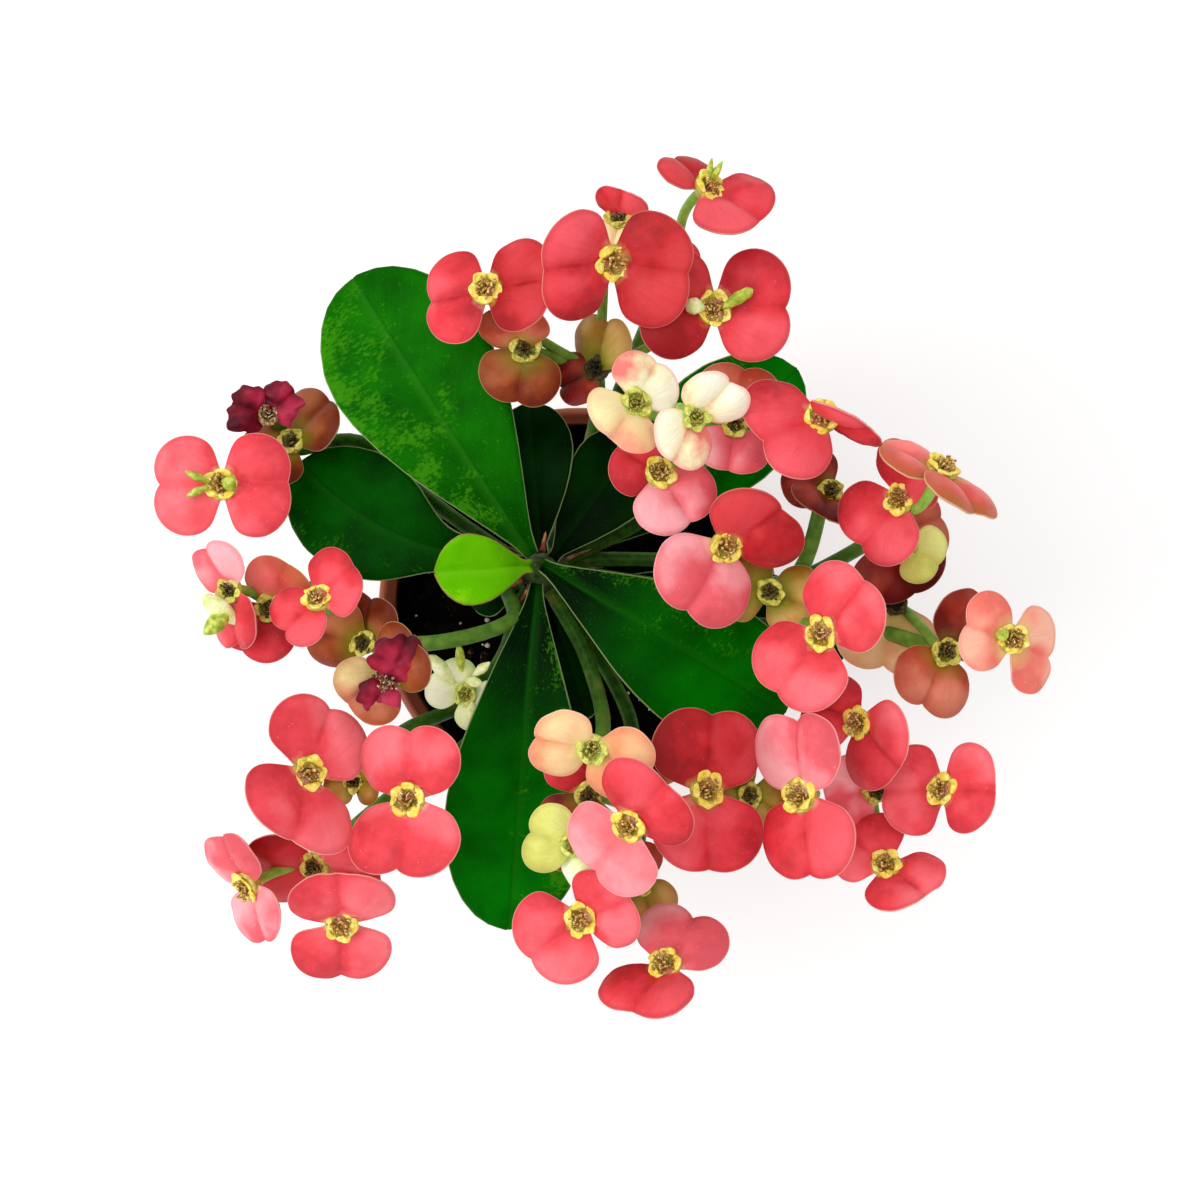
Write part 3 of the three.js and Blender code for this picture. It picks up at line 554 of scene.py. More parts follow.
def leaf_skin(name, deep, body, blotch, midrib, margin, fleck_from, painted_shade_foot_share):
    # A waxy leaf: a dull shine over deep green, with painted shade that darkens it towards the
    # stem, short yellow-green flecks that lie across the blade and crowd on one half, faint side
    # veins, a midrib with a painted dark line of shade in its groove and a painted highlight as a
    # lighter band along one side of it, and a thin dry edge.
    side_veins = 17
    m = new_material(name)
    place = add_node(m, "TexCoord", give="Object")
    flat = add_node(m, "TexCoord", give="UV")
    u = add_node(m, "SeparateXYZ", {"Vector": flat}, give="X")
    v = add_node(m, "SeparateXYZ", {"Vector": flat}, give="Y")
    cloud = add_node(m, "TexNoise", {"Vector": place, "Scale": 1 / (15 * mm), "Detail": 3.0})
    island = add_node(m, "TexNoise", {"Vector": place, "Scale": 1 / (8 * mm), "Detail": 2.0})
    pore = add_node(m, "TexNoise", {"Vector": place, "Scale": 1 / (0.8 * mm), "Detail": 2.0})
    dashes = add_node(m, "Mapping", {"Vector": flat, "Scale": (20, 90, 1)})
    dash = add_node(m, "TexNoise", {"Vector": dashes, "Scale": 1.0, "Detail": 4.0,
                                    "Roughness": 0.65})
    tone = add_node(m, "ValToRGB", {"Fac": cloud}, stops=[
        (0.32, linear(deep)), (0.68, linear(body))])
    # Painted shade: towards the blade's foot the green fades to the near-black #000a00, as in the
    # shade of the rosette.
    along = add_node(m, "MapRange", {
        "Value": v, "From Min": 0.14, "From Max": 0.52, "To Min": painted_shade_foot_share, "To Max": 1.0})
    shaded = add_node(m, "MixRGB", {"Fac": along, "Color1": linear("#000a00"), "Color2": tone})
    crowd = add_node(m, "Math", {0: island, 1: 0.9, 2: dash}, operation="MULTIPLY_ADD")
    one_half = add_node(m, "Math", {0: u, 1: -0.4, 2: crowd}, operation="MULTIPLY_ADD")
    fleck = add_node(m, "MapRange", {
        "Value": one_half, "From Min": fleck_from, "From Max": fleck_from + 0.16, "To Max": 0.7})
    flecked = add_node(m, "MixRGB", {"Fac": fleck, "Color1": shaded, "Color2": linear(blotch)})
    centred = add_node(m, "Math", {0: u, 1: 0.5}, operation="SUBTRACT")
    aside = add_node(m, "Math", {0: centred}, operation="ABSOLUTE")
    slant = add_node(m, "Math", {0: aside, 1: -0.55, 2: v}, operation="MULTIPLY_ADD")
    wobble = add_node(m, "Math", {0: cloud, 1: 0.05, 2: slant}, operation="MULTIPLY_ADD")
    veins = add_node(m, "Math", {0: wobble, 1: 2 * math.pi * side_veins}, operation="MULTIPLY")
    ripple = add_node(m, "Math", {0: veins}, operation="SINE")
    vein = add_node(m, "MapRange", {"Value": ripple, "From Min": 0.82, "From Max": 1.0})
    faint = add_node(m, "Math", {0: vein, 1: 0.05}, operation="MULTIPLY")
    veined = add_node(m, "MixRGB", {"Fac": faint, "Color1": flecked, "Color2": linear(midrib)})
    speck = add_node(m, "MapRange", {
        "Value": pore, "From Min": 0.66, "From Max": 0.74, "To Max": 0.6})
    specked = add_node(m, "MixRGB", {"Fac": speck, "Color1": veined, "Color2": linear(midrib)})
    rib = add_node(m, "Attribute", give="Fac", attribute_name="from_midrib")
    # Painted light: a lighter band on the first half of the leaf along the midrib, as where light
    # falls on that side of the fold.
    band = add_node(m, "MapRange", {"Value": rib, "From Min": 3.2, "From Max": 0.3, "To Max": 0.3})
    first_half = add_node(m, "Math", {0: u, 1: 0.5}, operation="LESS_THAN")
    lit_side = add_node(m, "Math", {0: band, 1: first_half}, operation="MULTIPLY")
    painted_light_banded = add_node(m, "MixRGB", {"Fac": lit_side, "Color1": specked, "Color2": linear(midrib)})
    # Painted shade: a dark line along the midrib, the shade in its sunken groove.
    on_rib = add_node(m, "MapRange", {
        "Value": rib, "From Min": 0.8, "From Max": 0.2, "To Max": 0.4})
    ribbed = add_node(m, "MixRGB", {"Fac": on_rib, "Color1": painted_light_banded, "Color2": linear(deep)})
    edge = add_node(m, "Attribute", give="Fac", attribute_name="from_margin")
    on_edge = add_node(m, "MapRange", {
        "Value": edge, "From Min": 0.35, "From Max": 0.15, "To Max": 0.7})
    colour = add_node(m, "MixRGB", {"Fac": on_edge, "Color1": ribbed, "Color2": linear(margin)})
    gloss = add_node(m, "MapRange", {"Value": island, "To Min": 0.3, "To Max": 0.55})
    relief = add_node(m, "Math", {0: vein, 1: -0.5, 2: pore}, operation="MULTIPLY_ADD")
    bump = add_node(m, "Bump", {"Height": relief, "Strength": 0.25, "Distance": 0.2 * mm})
    shader = add_node(m, "BsdfPrincipled", {
        "Base Color": colour, "Roughness": gloss, "Normal": bump, "IOR": 1.42,
        "Specular IOR Level": 0.03})
    add_node(m, "OutputMaterial", {"Surface": shader})
    return m


def thicken(piece, thickness):
    """Turns a sheet into a blade so many mm thick, half of it to each side."""
    select_only(piece)
    skin = piece.modifiers.new("thickness", "SOLIDIFY")
    skin.thickness, skin.offset = thickness * mm, 0
    bpy.ops.object.modifier_apply(modifier=skin.name)


# Finish: deep green, body green, flecks, midrib, margin, how high the noise has to rise to give a
# fleck, and how much of its green the blade's foot keeps under the painted shade.
leaf_finishes = {
    # Painted light and shade: all but the young finish are one leaf green, painted lighter or
    # darker by how much light reaches each leaf. The first is as it is, the second and third are
    # painted shade, the fourth painted light.
    "waxy": ("#005000", "#007400", "#3c8808", "#1c6c08", "#98ac70", 0.94, 0.05),
    "dark": ("#003400", "#005800", "#2c7408", "#1c6408", "#98ac70", 1.02, 0.2),
    "shaded": ("#001200", "#002c00", "#1c4c04", "#0c3c04", "#98ac70", 1.12, 0.1),
    "bright": ("#065000", "#107000", "#3c8a0a", "#34841a", "#98ac70", 0.86, 0.8),
    "young": ("#5cb400", "#6ecc04", "#8cd80c", "#84d820", "#a08048", 1.0, 0.7),
}
leaf_skins = {name: leaf_skin(name + "_leaf", *row) for name, row in leaf_finishes.items()}
bpy.ops.object.select_all(action="DESELECT")
bpy.ops.mesh.primitive_grid_add(x_subdivisions=blade_columns, y_subdivisions=blade_rows, size=1)
flat_blade = bpy.context.object
for name, finish, *shape in leaf_rows:
    blade = copy_of(flat_blade)
    blade.name = blade.data.name = "blade_" + name
    shape_leaf(blade, *shape)
    thicken(blade, blade_thickness)
    dress(blade, leaf_skins[finish],
          ["leaf_" + name])
bpy.data.objects.remove(flat_blade)

# ---- flower stalks and heads ----
# Seventeen smooth green stalks leave the stem between the leaves and fork again and again. The
# oldest head sits in each fork, and every branch ends in a younger head.
def head_row(name, at, turn, lean, toward, size, first, second, finish, age="open"):
    """A flower head: its piece, the place of its face, the heading of its bract pair, its lean and
    the heading it leans to, its size, then for each bract the lift, swing and roll and the share
    of the size, then their two finishes and the head's age."""
    return {"name": name, "at": Vector(at), "turn": turn, "lean": lean, "toward": toward,
            "size": size, "blades": (first, second), "finish": finish, "age": age}


# A truss row: stalk, height and heading where it leaves the stem, its bends, then its fork head,
# the heads of its branches, and the small ones that are still part of the stalk.
trusses = [
    ("left_low", 156, 154, [(-45, 33, 156), (-65, 49.5, 163)],
     head_row("", (-81.7, 48, 181), 40, 10, 120, 0.7,
              (8, 10, -25, 1.19), (25, 0, 0, 1), ("russet", "russet"), "spent"),
     [head_row("left_1", (-97.9, 34.4, 198), 1, 3, 179, 0.97,
               (5, 1, -2, 1.02), (6, -1, 0, 0.98), ("bright", "bright"))],
     [head_row("", (-87, 55, 187), 10, 10, 90, 0.5,
               (30, 25, 10, 1.1), (35, -25, -10, 1.2), ("crimson", "crimson"), "dried")]),
    ("left", 172, 208, [(-18, -3, 181), (-42, -10, 190)],
     head_row("", (-58.3, -9.5, 200.1), 148, 12, 236, 0.6,
              (13, 18, -22, 1.3), (5, 112, -20, 1.12), ("rust", "russet"), "spent"),
     [head_row("left_2", (-68.4, 3, 215), 40, 21, 113, 0.69,
               (22, -3, -2, 1.02), (-1, 3, 7, 0.97), ("coral", "coral")),
      head_row("left_3", (-49.8, -18.1, 215), 25, 5, 300, 0.75,
               (24, 26, -25, 0.95), (30, 8, 15, 0.95), ("russet", "kidney"), "dried")],
     []),
    ("left_far", 158, 190, [(-45, 17, 157), (-72, 8, 176)],
     head_row("", (-84.5, 0, 199), 60, 10, 180, 0.75,
              (20, 0, 0, 1), (20, 0, 0, 1), ("faded", "coral"), "spent"),
     [],
     [head_row("", (-93.6, 5, 207), 103, 25, 180, 0.62,
               (23, 16, -22, 1.15), (-3, -11, 24, 1.3), ("rose", "coral"), "spent")]),
    ("left_young", 168, 236, [(-22, -16, 172)],
     head_row("", (-31.7, -24.8, 180), 138, 5, 230, 0.5,
              (25, 0, 0, 1.15), (15, 0, 0, 1.1), ("bud", "bud"), "young"),
     [],
     []),
    ("front_left", 159, 242, [(-30, -26, 158), (-50, -36, 176)],
     head_row("", (-60, -47, 206), 0, 10, 200, 0.45,
              (30, 0, 0, 1), (30, 0, 0, 1), ("olive", "olive"), "spent"),
     [head_row("front_left_1", (-68.5, -42.9, 227), 61, 31, 9, 1.06,
               (-7, -1, 3, 0.95), (35, 0, -4, 1.05), ("bright", "bright")),
      head_row("front_left_2", (-43.2, -50, 224), 90, 17, 167, 1.02,
               (7, 1, -2, 0.96), (24, -1, -1, 1.04), ("bright", "bright"))],
     []),
    ("front_left_low", 151, 256, [(-30, -38, 164), (-54, -55, 184)],
     head_row("", (-70.9, -70.5, 205), 5, 12, 240, 0.8,
              (-5, -16, 30, 1.15), (8, 3, -30, 1.15), ("coral", "shaded_coral"), "spent"),
     [head_row("front_left_3", (-61, -83.3, 221), 89, 9, 310, 0.93,
               (32, 1, 0, 1.02), (-17, -1, -1, 0.98), ("bright", "bright")),
      head_row("front_left_4", (-88, -74.6, 214), 108, 45, 205, 0.8,
               (10, 0, 0, 1), (10, 0, 0, 1), ("rose", "rose"))],
     []),
    ("front", 170, -64, [(2, -12, 170), (8, -32, 178)],
     head_row("", (4, -50, 215), 75, 5, 270, 0.7,
              (8, 18, 0, 1.15), (4, 2, 42, 1.6), ("coral", "maroon"), "spent"),
     [head_row("front_1", (5.1, -36.4, 229), -10, 6, 270, 0.8,
               (4, -20, 25, 1), (8, 0, -32, 1), ("salmon", "salmon"), "young"),
      head_row("front_2", (14.3, -54.9, 238), 46, 23, 197, 0.95,
               (22, -2, 6, 0.99), (-7, 2, 4, 1.01), ("coral", "rose_painted_highlight"))],
     [head_row("", (0.2, -62.3, 221), 140, 8, 230, 0.6,
               (10, 24, 0, 1.1), (17, -17, 30, 1.1), ("lime", "bud"), "young")]),
    ("front_low", 150, -60, [(16, -33, 150)],
     head_row("", (18.2, -76.2, 198), 110, 8, 280, 0.6,
              (15, 0, 0, 1), (15, 0, 0, 1), ("dusky", "olive"), "spent"),
     [head_row("front_3", (2.1, -82.1, 220), 28, 10, 230, 0.95,
               (20, -2, 5, 0.85), (10, 12, 4, 0.96), ("bright", "bright")),
      head_row("front_4", (24.4, -94.7, 216), 69, 34, 113, 0.92,
               (-9, 3, 0, 0.98), (26, -1, 17, 1.02), ("rose", "coral"))],
     []),
    ("front_centre", 166, -50, [(23, -23, 170), (40, -46, 184)],
     head_row("", (48, -51, 205), 150, 8, 300, 0.6,
              (15, 0, 0, 1), (15, 0, 0, 1), ("olive", "olive"), "spent"),
     [head_row("front_5", (35.6, -48, 219), 85, 30, 53, 1.08,
               (24, -1, 4, 1.02), (-5, 1, 3, 0.99), ("shaded_coral", "coral")),
      head_row("front_right_1", (58.4, -47.9, 231), 97, 36, 171, 1.07,
               (9, 0, -16, 0.99), (0, 1, 14, 1.01), ("rose", "coral"))],
     []),
    ("front_right", 154, -34, [(46, -27, 164)],
     head_row("", (83, -50, 202), 60, 8, 320, 0.7,
              (15, 0, 0, 1), (15, -50, 0, 1.1), ("maroon", "rose"), "spent"),
     [head_row("front_right_2", (75.3, -30.4, 217), 153, 32, 198, 0.84,
               (19, 8, -2, 0.89), (25, -7, 9, 1.09), ("coral", "bright")),
      head_row("front_right_3", (97, -47.5, 222), -3, 30, 155, 0.82,
               (22, -2, -1, 0.99), (5, 1, 1, 1.01), ("bright", "bright")),
      head_row("front_right_4", (83.7, -68.2, 214), 131, 33, 112, 0.79,
               (-8, -1, -4, 0.97), (22, 1, -13, 1.02), ("bright", "bright"))],
     []),
    ("right", 162, -14, [(45, -4, 166), (83, -6, 188)],
     head_row("", (101.1, -11.7, 208), 60, 12, 330, 0.8,
              (3, -12, 25, 1.1), (15, 6, -11, 1.09), ("maroon", "dusky"), "spent"),
     [head_row("right_1", (115.7, -7.9, 222), -17, 11, 94, 0.78,
               (-35, 1, -2, 1.05), (18, 0, 1, 0.95), ("shell", "shell"))],
     [head_row("", (90, 1.5, 192), 100, 10, 200, 0.6,
               (10, 0, 0, 0.5), (14, -20, -10, 1.7), ("blush", "blush"), "black")]),
    ("right_back", 150, 2, [(55, 5, 162)],
     head_row("", (87.4, 19.8, 198), 20, 10, 0, 0.75,
              (10, 0, 0, 1.1), (10, 93, 25, 1.2), ("dusky", "maroon"), "spent"),
     [head_row("right_2", (93.7, 35.9, 239.5), -39, 49, 72, 0.86,
               (0, -36, -20, 1), (4, 1, 15, 0.95), ("faded", "faded")),
      head_row("right_3", (86.4, 29.2, 219), 48, 33, 178, 0.85,
               (29, 7, -11, 0.93), (4, -7, 1, 1.05), ("coral", "coral"))],
     [head_row("", (90, 16.9, 210), -29, 10, -29, 0.56,
               (5, 0, 0, 1), (10, 0, 0, 1), ("lime", "lime"), "young")]),
    ("centre_right", 168, -4, [(22, 4, 171), (44, 4, 180)],
     head_row("", (54, 4.5, 202), 160, 8, 0, 0.7,
              (10, 0, 0, 1), (10, 0, 0, 1), ("olive", "olive"), "spent"),
     [head_row("centre_1", (41, 16.5, 214.5), 52, 27, 309, 1.05,
               (30, -6, 2, 0.96), (18, 6, -1, 1.04), ("shaded_coral", "rose")),
      head_row("right_4", (65.3, -6.6, 222), 47, 31, 149, 1,
               (16, -1, -6, 0.97), (4, 1, 5, 1.02), ("bright", "bright"))],
     []),
    ("back_right", 158, 20, [(30, 14, 160), (62, 8, 182)],
     head_row("", (70.8, 32.4, 200), 170, 10, 60, 0.6,
              (4, -26, 10, 1.15), (45, -110, 0, 1.1), ("maroon", "maroon"), "spent"),
     [head_row("back_right_1", (64.4, 49.7, 230), 14, 8, 180, 0.98,
               (36, -34, 80, 0.84), (30, 10, 12, 1.04), ("coral", "coral"))],
     []),
    ("back_centre", 162, 30, [(18, 25, 165)],
     head_row("", (43.5, 49.5, 212), 80, 8, 40, 0.6,
              (15, 0, 0, 1.35), (15, 0, 0, 1.15), ("dusky", "rose"), "spent"),
     [head_row("centre_2", (16.6, 53, 232), 55, 16, 1, 0.7,
               (-6, 3, 3, 0.95), (27, -4, 3, 1.05), ("cream", "peach"), "young"),
      head_row("centre_3", (31.5, 48.8, 239), 59, 31, 320, 0.69,
               (30, -3, 8, 1), (17, 4, -7, 1), ("cream", "cream"), "young"),
      head_row("centre_4", (23.2, 36.3, 217), -58, 8, 60, 0.81,
               (0, 0, -3, 1), (10, 28, 0, 0.85), ("rose", "coral"))],
     []),
    ("back", 163, 70, [(1, 38, 163), (6.5, 57, 178)],
     head_row("", (6.3, 66.7, 196), 100, 5, 90, 0.6,
              (17, -20, -42, 1.25), (-4, -77, 20, 1.02), ("olive", "maroon"), "black"),
     [head_row("back_1", (10.6, 88.9, 232), -2, 31, 285, 1.03,
               (27, -3, 0, 1.02), (22, 2, -3, 0.98), ("shaded_coral", "coral")),
      head_row("back_2", (-22.9, 84.2, 222), 3, 14, 121, 0.9,
               (15, 1, -7, 1.02), (-13, -2, -1, 0.98), ("shaded_coral", "coral")),
      head_row("back_3", (37.3, 79, 222), -2, 9, 264, 1,
               (9, 2, 0, 1), (13, -2, 2, 1), ("coral", "shaded_coral"))],
     [head_row("", (-13.1, 70.8, 207), 86, 10, 250, 0.8,
               (30, 32, -30, 0.9), (-2, -7, 4, 0.98), ("dusky", "russet"), "spent")]),
    ("back_far", 150, 72, [(14, 66, 172)],
     head_row("", (26, 92, 204), 20, 8, 60, 0.5,
              (20, 0, 0, 1), (20, 0, 0, 1), ("coral", "coral"), "spent"),
     [head_row("back_4", (35.8, 110, 226), -50, 31, 20, 0.8,
               (33, 6, -2, 1.1), (-24, -8, 15, 0.85), ("coral", "shaded_coral"))],
     [head_row("", (12.3, 104.2, 218), 60, 15, 110, 0.6,
               (70, 10, 0, 0.85), (10, 20, 0, 0.7), ("coral", "peach"), "spent")]),
]
# Lengths in mm: the radii, how deep a stalk is rooted and how far it goes straight out, how far
# below the face of its fork head it turns upright and ends, and how far below the two faces a
# branch starts and ends. A branch leaves level and arrives upright, over shares of its length.
# The swellings are given as most and reach.
peduncle_radius, branch_radius, stalk_root, stalk_leave = 2.2, 1.4, -0.6, 4.0
stalk_upright, stalk_end, branch_start, branch_end = 9, 3, 5, 4.8
branch_leave, branch_arrive, branch_steps, path_steps = 0.4, 0.45, 14, 7
foot_swell, neck_swell, knobbly = (0.18, 0.08), (0.12, 0.1), 0.06


def head_frame(row):
    """A head's own directions: along its bract pair, across it, and straight up from its face."""
    lean = math.radians(row["lean"])
    up = heading_vector(row["toward"]) * math.sin(lean)
    up.z = math.cos(lean)
    pair = heading_vector(row["turn"])
    pair = (pair - up * pair.dot(up)).normalized()
    return pair, up.cross(pair), up


def head_turn(row):
    """The turn that brings a piece drawn level, its pair along X, to a head's own directions."""
    return Matrix(head_frame(row)).transposed().to_4x4()


def smooth_path(points, steps):
    """Points along a smooth line through the given ones, with no loops where they lie close."""
    points = [points[0] * 2 - points[1]] + points + [points[-1] * 2 - points[-2]]
    path = []
    for a, b, c, d in zip(points, points[1:], points[2:], points[3:]):
        first = max(1e-4, (b - a).length ** 0.5)
        middle = max(1e-4, (c - b).length ** 0.5)
        last = max(1e-4, (d - c).length ** 0.5)
        leave = ((b - a) / first - (c - a) / (first + middle) + (c - b) / middle) * middle
        arrive = ((c - b) / middle - (d - b) / (middle + last) + (d - c) / last) * middle
        for step in range(steps):
            t = step / steps
            path.append(b * (2 * t ** 3 - 3 * t ** 2 + 1) + leave * (t ** 3 - 2 * t ** 2 + t)
                        + c * (3 * t ** 2 - 2 * t ** 3) + arrive * (t ** 3 - t ** 2))
    return path + [points[-2]]


def stalk_path(height, heading, bends, fork):
    """The line of a stalk from inside the bark, past its bends, to the foot of its fork head."""
    up = head_frame(fork)[2]
    toward = heading_vector(heading)
    points = [stem_axis(height) + toward * (bark_radius(height) + reach)
              for reach in (stalk_root, stalk_leave)] + [Vector(bend) for bend in bends]
    ends = [fork["at"] - up * stalk_upright, fork["at"] - up * stalk_end]
    return smooth_path(points + ends, path_steps)


def branch_path(fork, row):
    """The line of a branch from its fork to the foot of its own head."""
    fork_up, up = head_frame(fork)[2], head_frame(row)[2]
    start = fork["at"] - fork_up * branch_start
    end = row["at"] - up * branch_end
    reach = (end - start).length
    outward = end - start
    outward.z = 0
    leave = start + outward.normalized() * branch_leave * reach
    arrive = end - up * branch_arrive * reach
    path = []
    for step in range(branch_steps + 1):
        t = step / branch_steps
        path.append(start * (1 - t) ** 3 + leave * 3 * t * (1 - t) ** 2
                    + arrive * 3 * t ** 2 * (1 - t) + end * t ** 3)
    return path


def green_tube(name, path, radius, seed):
    """A stalk along a path, thicker at its foot and under its head, and gently knobbly."""
    line = bpy.data.curves.new(name, "CURVE")
    line.dimensions, line.use_fill_caps = "3D", True
    line.bevel_depth, line.bevel_resolution = mm, 4
    spline = line.splines.new("POLY")
    spline.points.add(len(path) - 1)
    for index, (point, place) in enumerate(zip(spline.points, path)):
        share = index / (len(path) - 1)
        swell = sum(most * math.exp(-(away / reach) ** 2) for away, (most, reach) in (
            (share, foot_swell), (1 - share, neck_swell)))
        point.co = (*(place * mm), 1)
        point.radius = radius * (1 + swell + knobbly * noise.noise(
            Vector((index * 0.4, seed, 0))))
    piece = bpy.data.objects.new(name, line)
    bpy.context.collection.objects.link(piece)
    select_only(piece)
    bpy.ops.object.convert(target="MESH")
    return bpy.context.object


def green_stalk():
    # Smooth juicy stalk tissue: dark green and striped low down, pale yellow-green near the heads.
    m = new_material("green_stalk")
    place = add_node(m, "TexCoord", give="Object")
    along = add_node(m, "Mapping", {"Vector": place, "Scale": (1, 1, 0.5)})
    streak = add_node(m, "TexNoise", {"Vector": along, "Scale": 1 / (2.6 * mm), "Detail": 3.0})
    patch = add_node(m, "TexNoise", {"Vector": place, "Scale": 1 / (12 * mm), "Detail": 3.0})
    low = add_node(m, "ValToRGB", {"Fac": streak}, stops=[
        (0.3, linear("#1a4402")), (0.75, linear("#3a6c0a"))])
    top = add_node(m, "ValToRGB", {"Fac": streak}, stops=[
        (0.3, linear("#74a834")), (0.75, linear("#a4cc5c"))])
    high = add_node(m, "SeparateXYZ", {"Vector": place}, give="Z")
    cloudy = add_node(m, "Math", {0: patch, 1: 0.03, 2: high}, operation="MULTIPLY_ADD")
    share = add_node(m, "MapRange", {"Value": cloudy, "From Min": 0.190, "From Max": 0.226})
    tone = add_node(m, "MixRGB", {"Fac": share, "Color1": low, "Color2": top})
    blush = add_node(m, "MapRange", {
        "Value": patch, "From Min": 0.58, "From Max": 0.75, "To Max": 0.35})
    colour = add_node(m, "MixRGB", {"Fac": blush, "Color1": tone, "Color2": linear("#a0682c")})
    bump = add_node(m, "Bump", {"Height": streak, "Strength": 0.3, "Distance": 0.25 * mm})
    shader = add_node(m, "BsdfPrincipled", {
        "Base Color": colour, "Roughness": 0.46, "Normal": bump, "Specular IOR Level": 0.15,
        "Subsurface Weight": 0.1, "Subsurface Scale": 0.002})
    add_node(m, "OutputMaterial", {"Surface": shader})
    return m


# The bracts are the showy part of each head: two thin, waxy, kidney-shaped blades, joined to the
# cup by a narrow foot, each with two round lobes, a notch between them and a soft groove to it.
# Lengths are in mm for a bract of full size. The mesh spreads from a hub. The blade ends so far
# from the cup's middle, is so wide to each side, and widens steadily from a narrow foot. Its
# outline is found in small steps inwards, then smoothed but for the few points in the notch.
bract_points, bract_hub, bract_thickness = 72, 7.0, 0.5
bract_shares = [0.988, 0.94, 0.86, 0.74, 0.6, 0.42, 0.22]
bract_end, bract_half, shoulder_share = 19.9, 14.7, 0.643
foot_half, foot_slope = 2.4, 2.9
lobe_offsets = (3.8, 4.4, 5.0, 5.7)
outline_start, outline_step, outline_rounds, crisp_notch = 20.0, 0.04, 3, 5
# The bulge of a lobe and where its middle lies, the groove to the notch, the curl of the rim, how
# crumpled the blade is, how much one bract differs from the next in colour and evenness, and how
# steeply the painted light slopes across a bract.
bulge_range, lobe_ahead, lobe_aside, lobe_spread = (1.2, 2.2), 11, 7, 55
groove_range, groove_half = (0.4, 1.0), 1.7
curl_range, crumple_plain, crumple_withered = (-1.6, -0.4), 0.75, 3.0
ragged_withered, shrunk_withered, withered_lobes = 0.3, 0.78, 4.4
tone_range, uneven_range, painted_light_slope = (-0.25, 0.25), (-0.05, 0.05), 0.05


def bract_reach(side):
    """How far the outline lies from the hub all round, for lobes set so far to each side."""
    lobe = bract_half - side
    ahead = bract_end - lobe
    shoulder = side + shoulder_share * lobe

    def inside(x, y):
        y = abs(y)
        if y > foot_half + foot_slope * x:
            return False
        if (x - ahead) ** 2 + (y - side) ** 2 < lobe ** 2:
            return True
        return 0 <= x <= ahead and y <= shoulder

    reach = []
    for point in range(bract_points):
        angle = 2 * math.pi * point / bract_points
        distance = outline_start
        while distance > 1 and not inside(
                bract_hub + distance * math.cos(angle), distance * math.sin(angle)):
            distance -= outline_step
        reach.append(distance)
    for _ in range(outline_rounds):
        reach = [reach[point] if point < crisp_notch or point > bract_points - crisp_notch else
                 (reach[point - 1] + 2 * reach[point] + reach[(point + 1) % bract_points]) / 4
                 for point in range(bract_points)]
    return reach


def flat_bract():
    """The master bract: a round disc of rings, drawn inwards from its rim to its middle."""
    bpy.ops.object.select_all(action="DESELECT")
    bpy.ops.mesh.primitive_circle_add(vertices=bract_points, radius=1)
    piece = bpy.context.object
    bpy.ops.object.mode_set(mode="EDIT")
    bpy.ops.mesh.select_all(action="SELECT")
    share = 1.0
    for next_share in bract_shares:
        bpy.ops.mesh.extrude_region_move()
        grow = next_share / share
        bpy.ops.transform.resize(value=(grow, grow, 1), center_override=(0, 0, 0))
        share = next_share
    bpy.ops.mesh.extrude_region_move()
    bpy.ops.mesh.merge(type="CENTER")
    bpy.ops.object.mode_set(mode="OBJECT")
    return piece


bract_clefts = {side: bract_reach(side) for side in lobe_offsets}
bract_master = flat_bract()
bract_polar = [(vertex.co.length if vertex.co.length > 1e-6 else 0.0,
                math.atan2(vertex.co.y, vertex.co.x)) for vertex in bract_master.data.vertices]


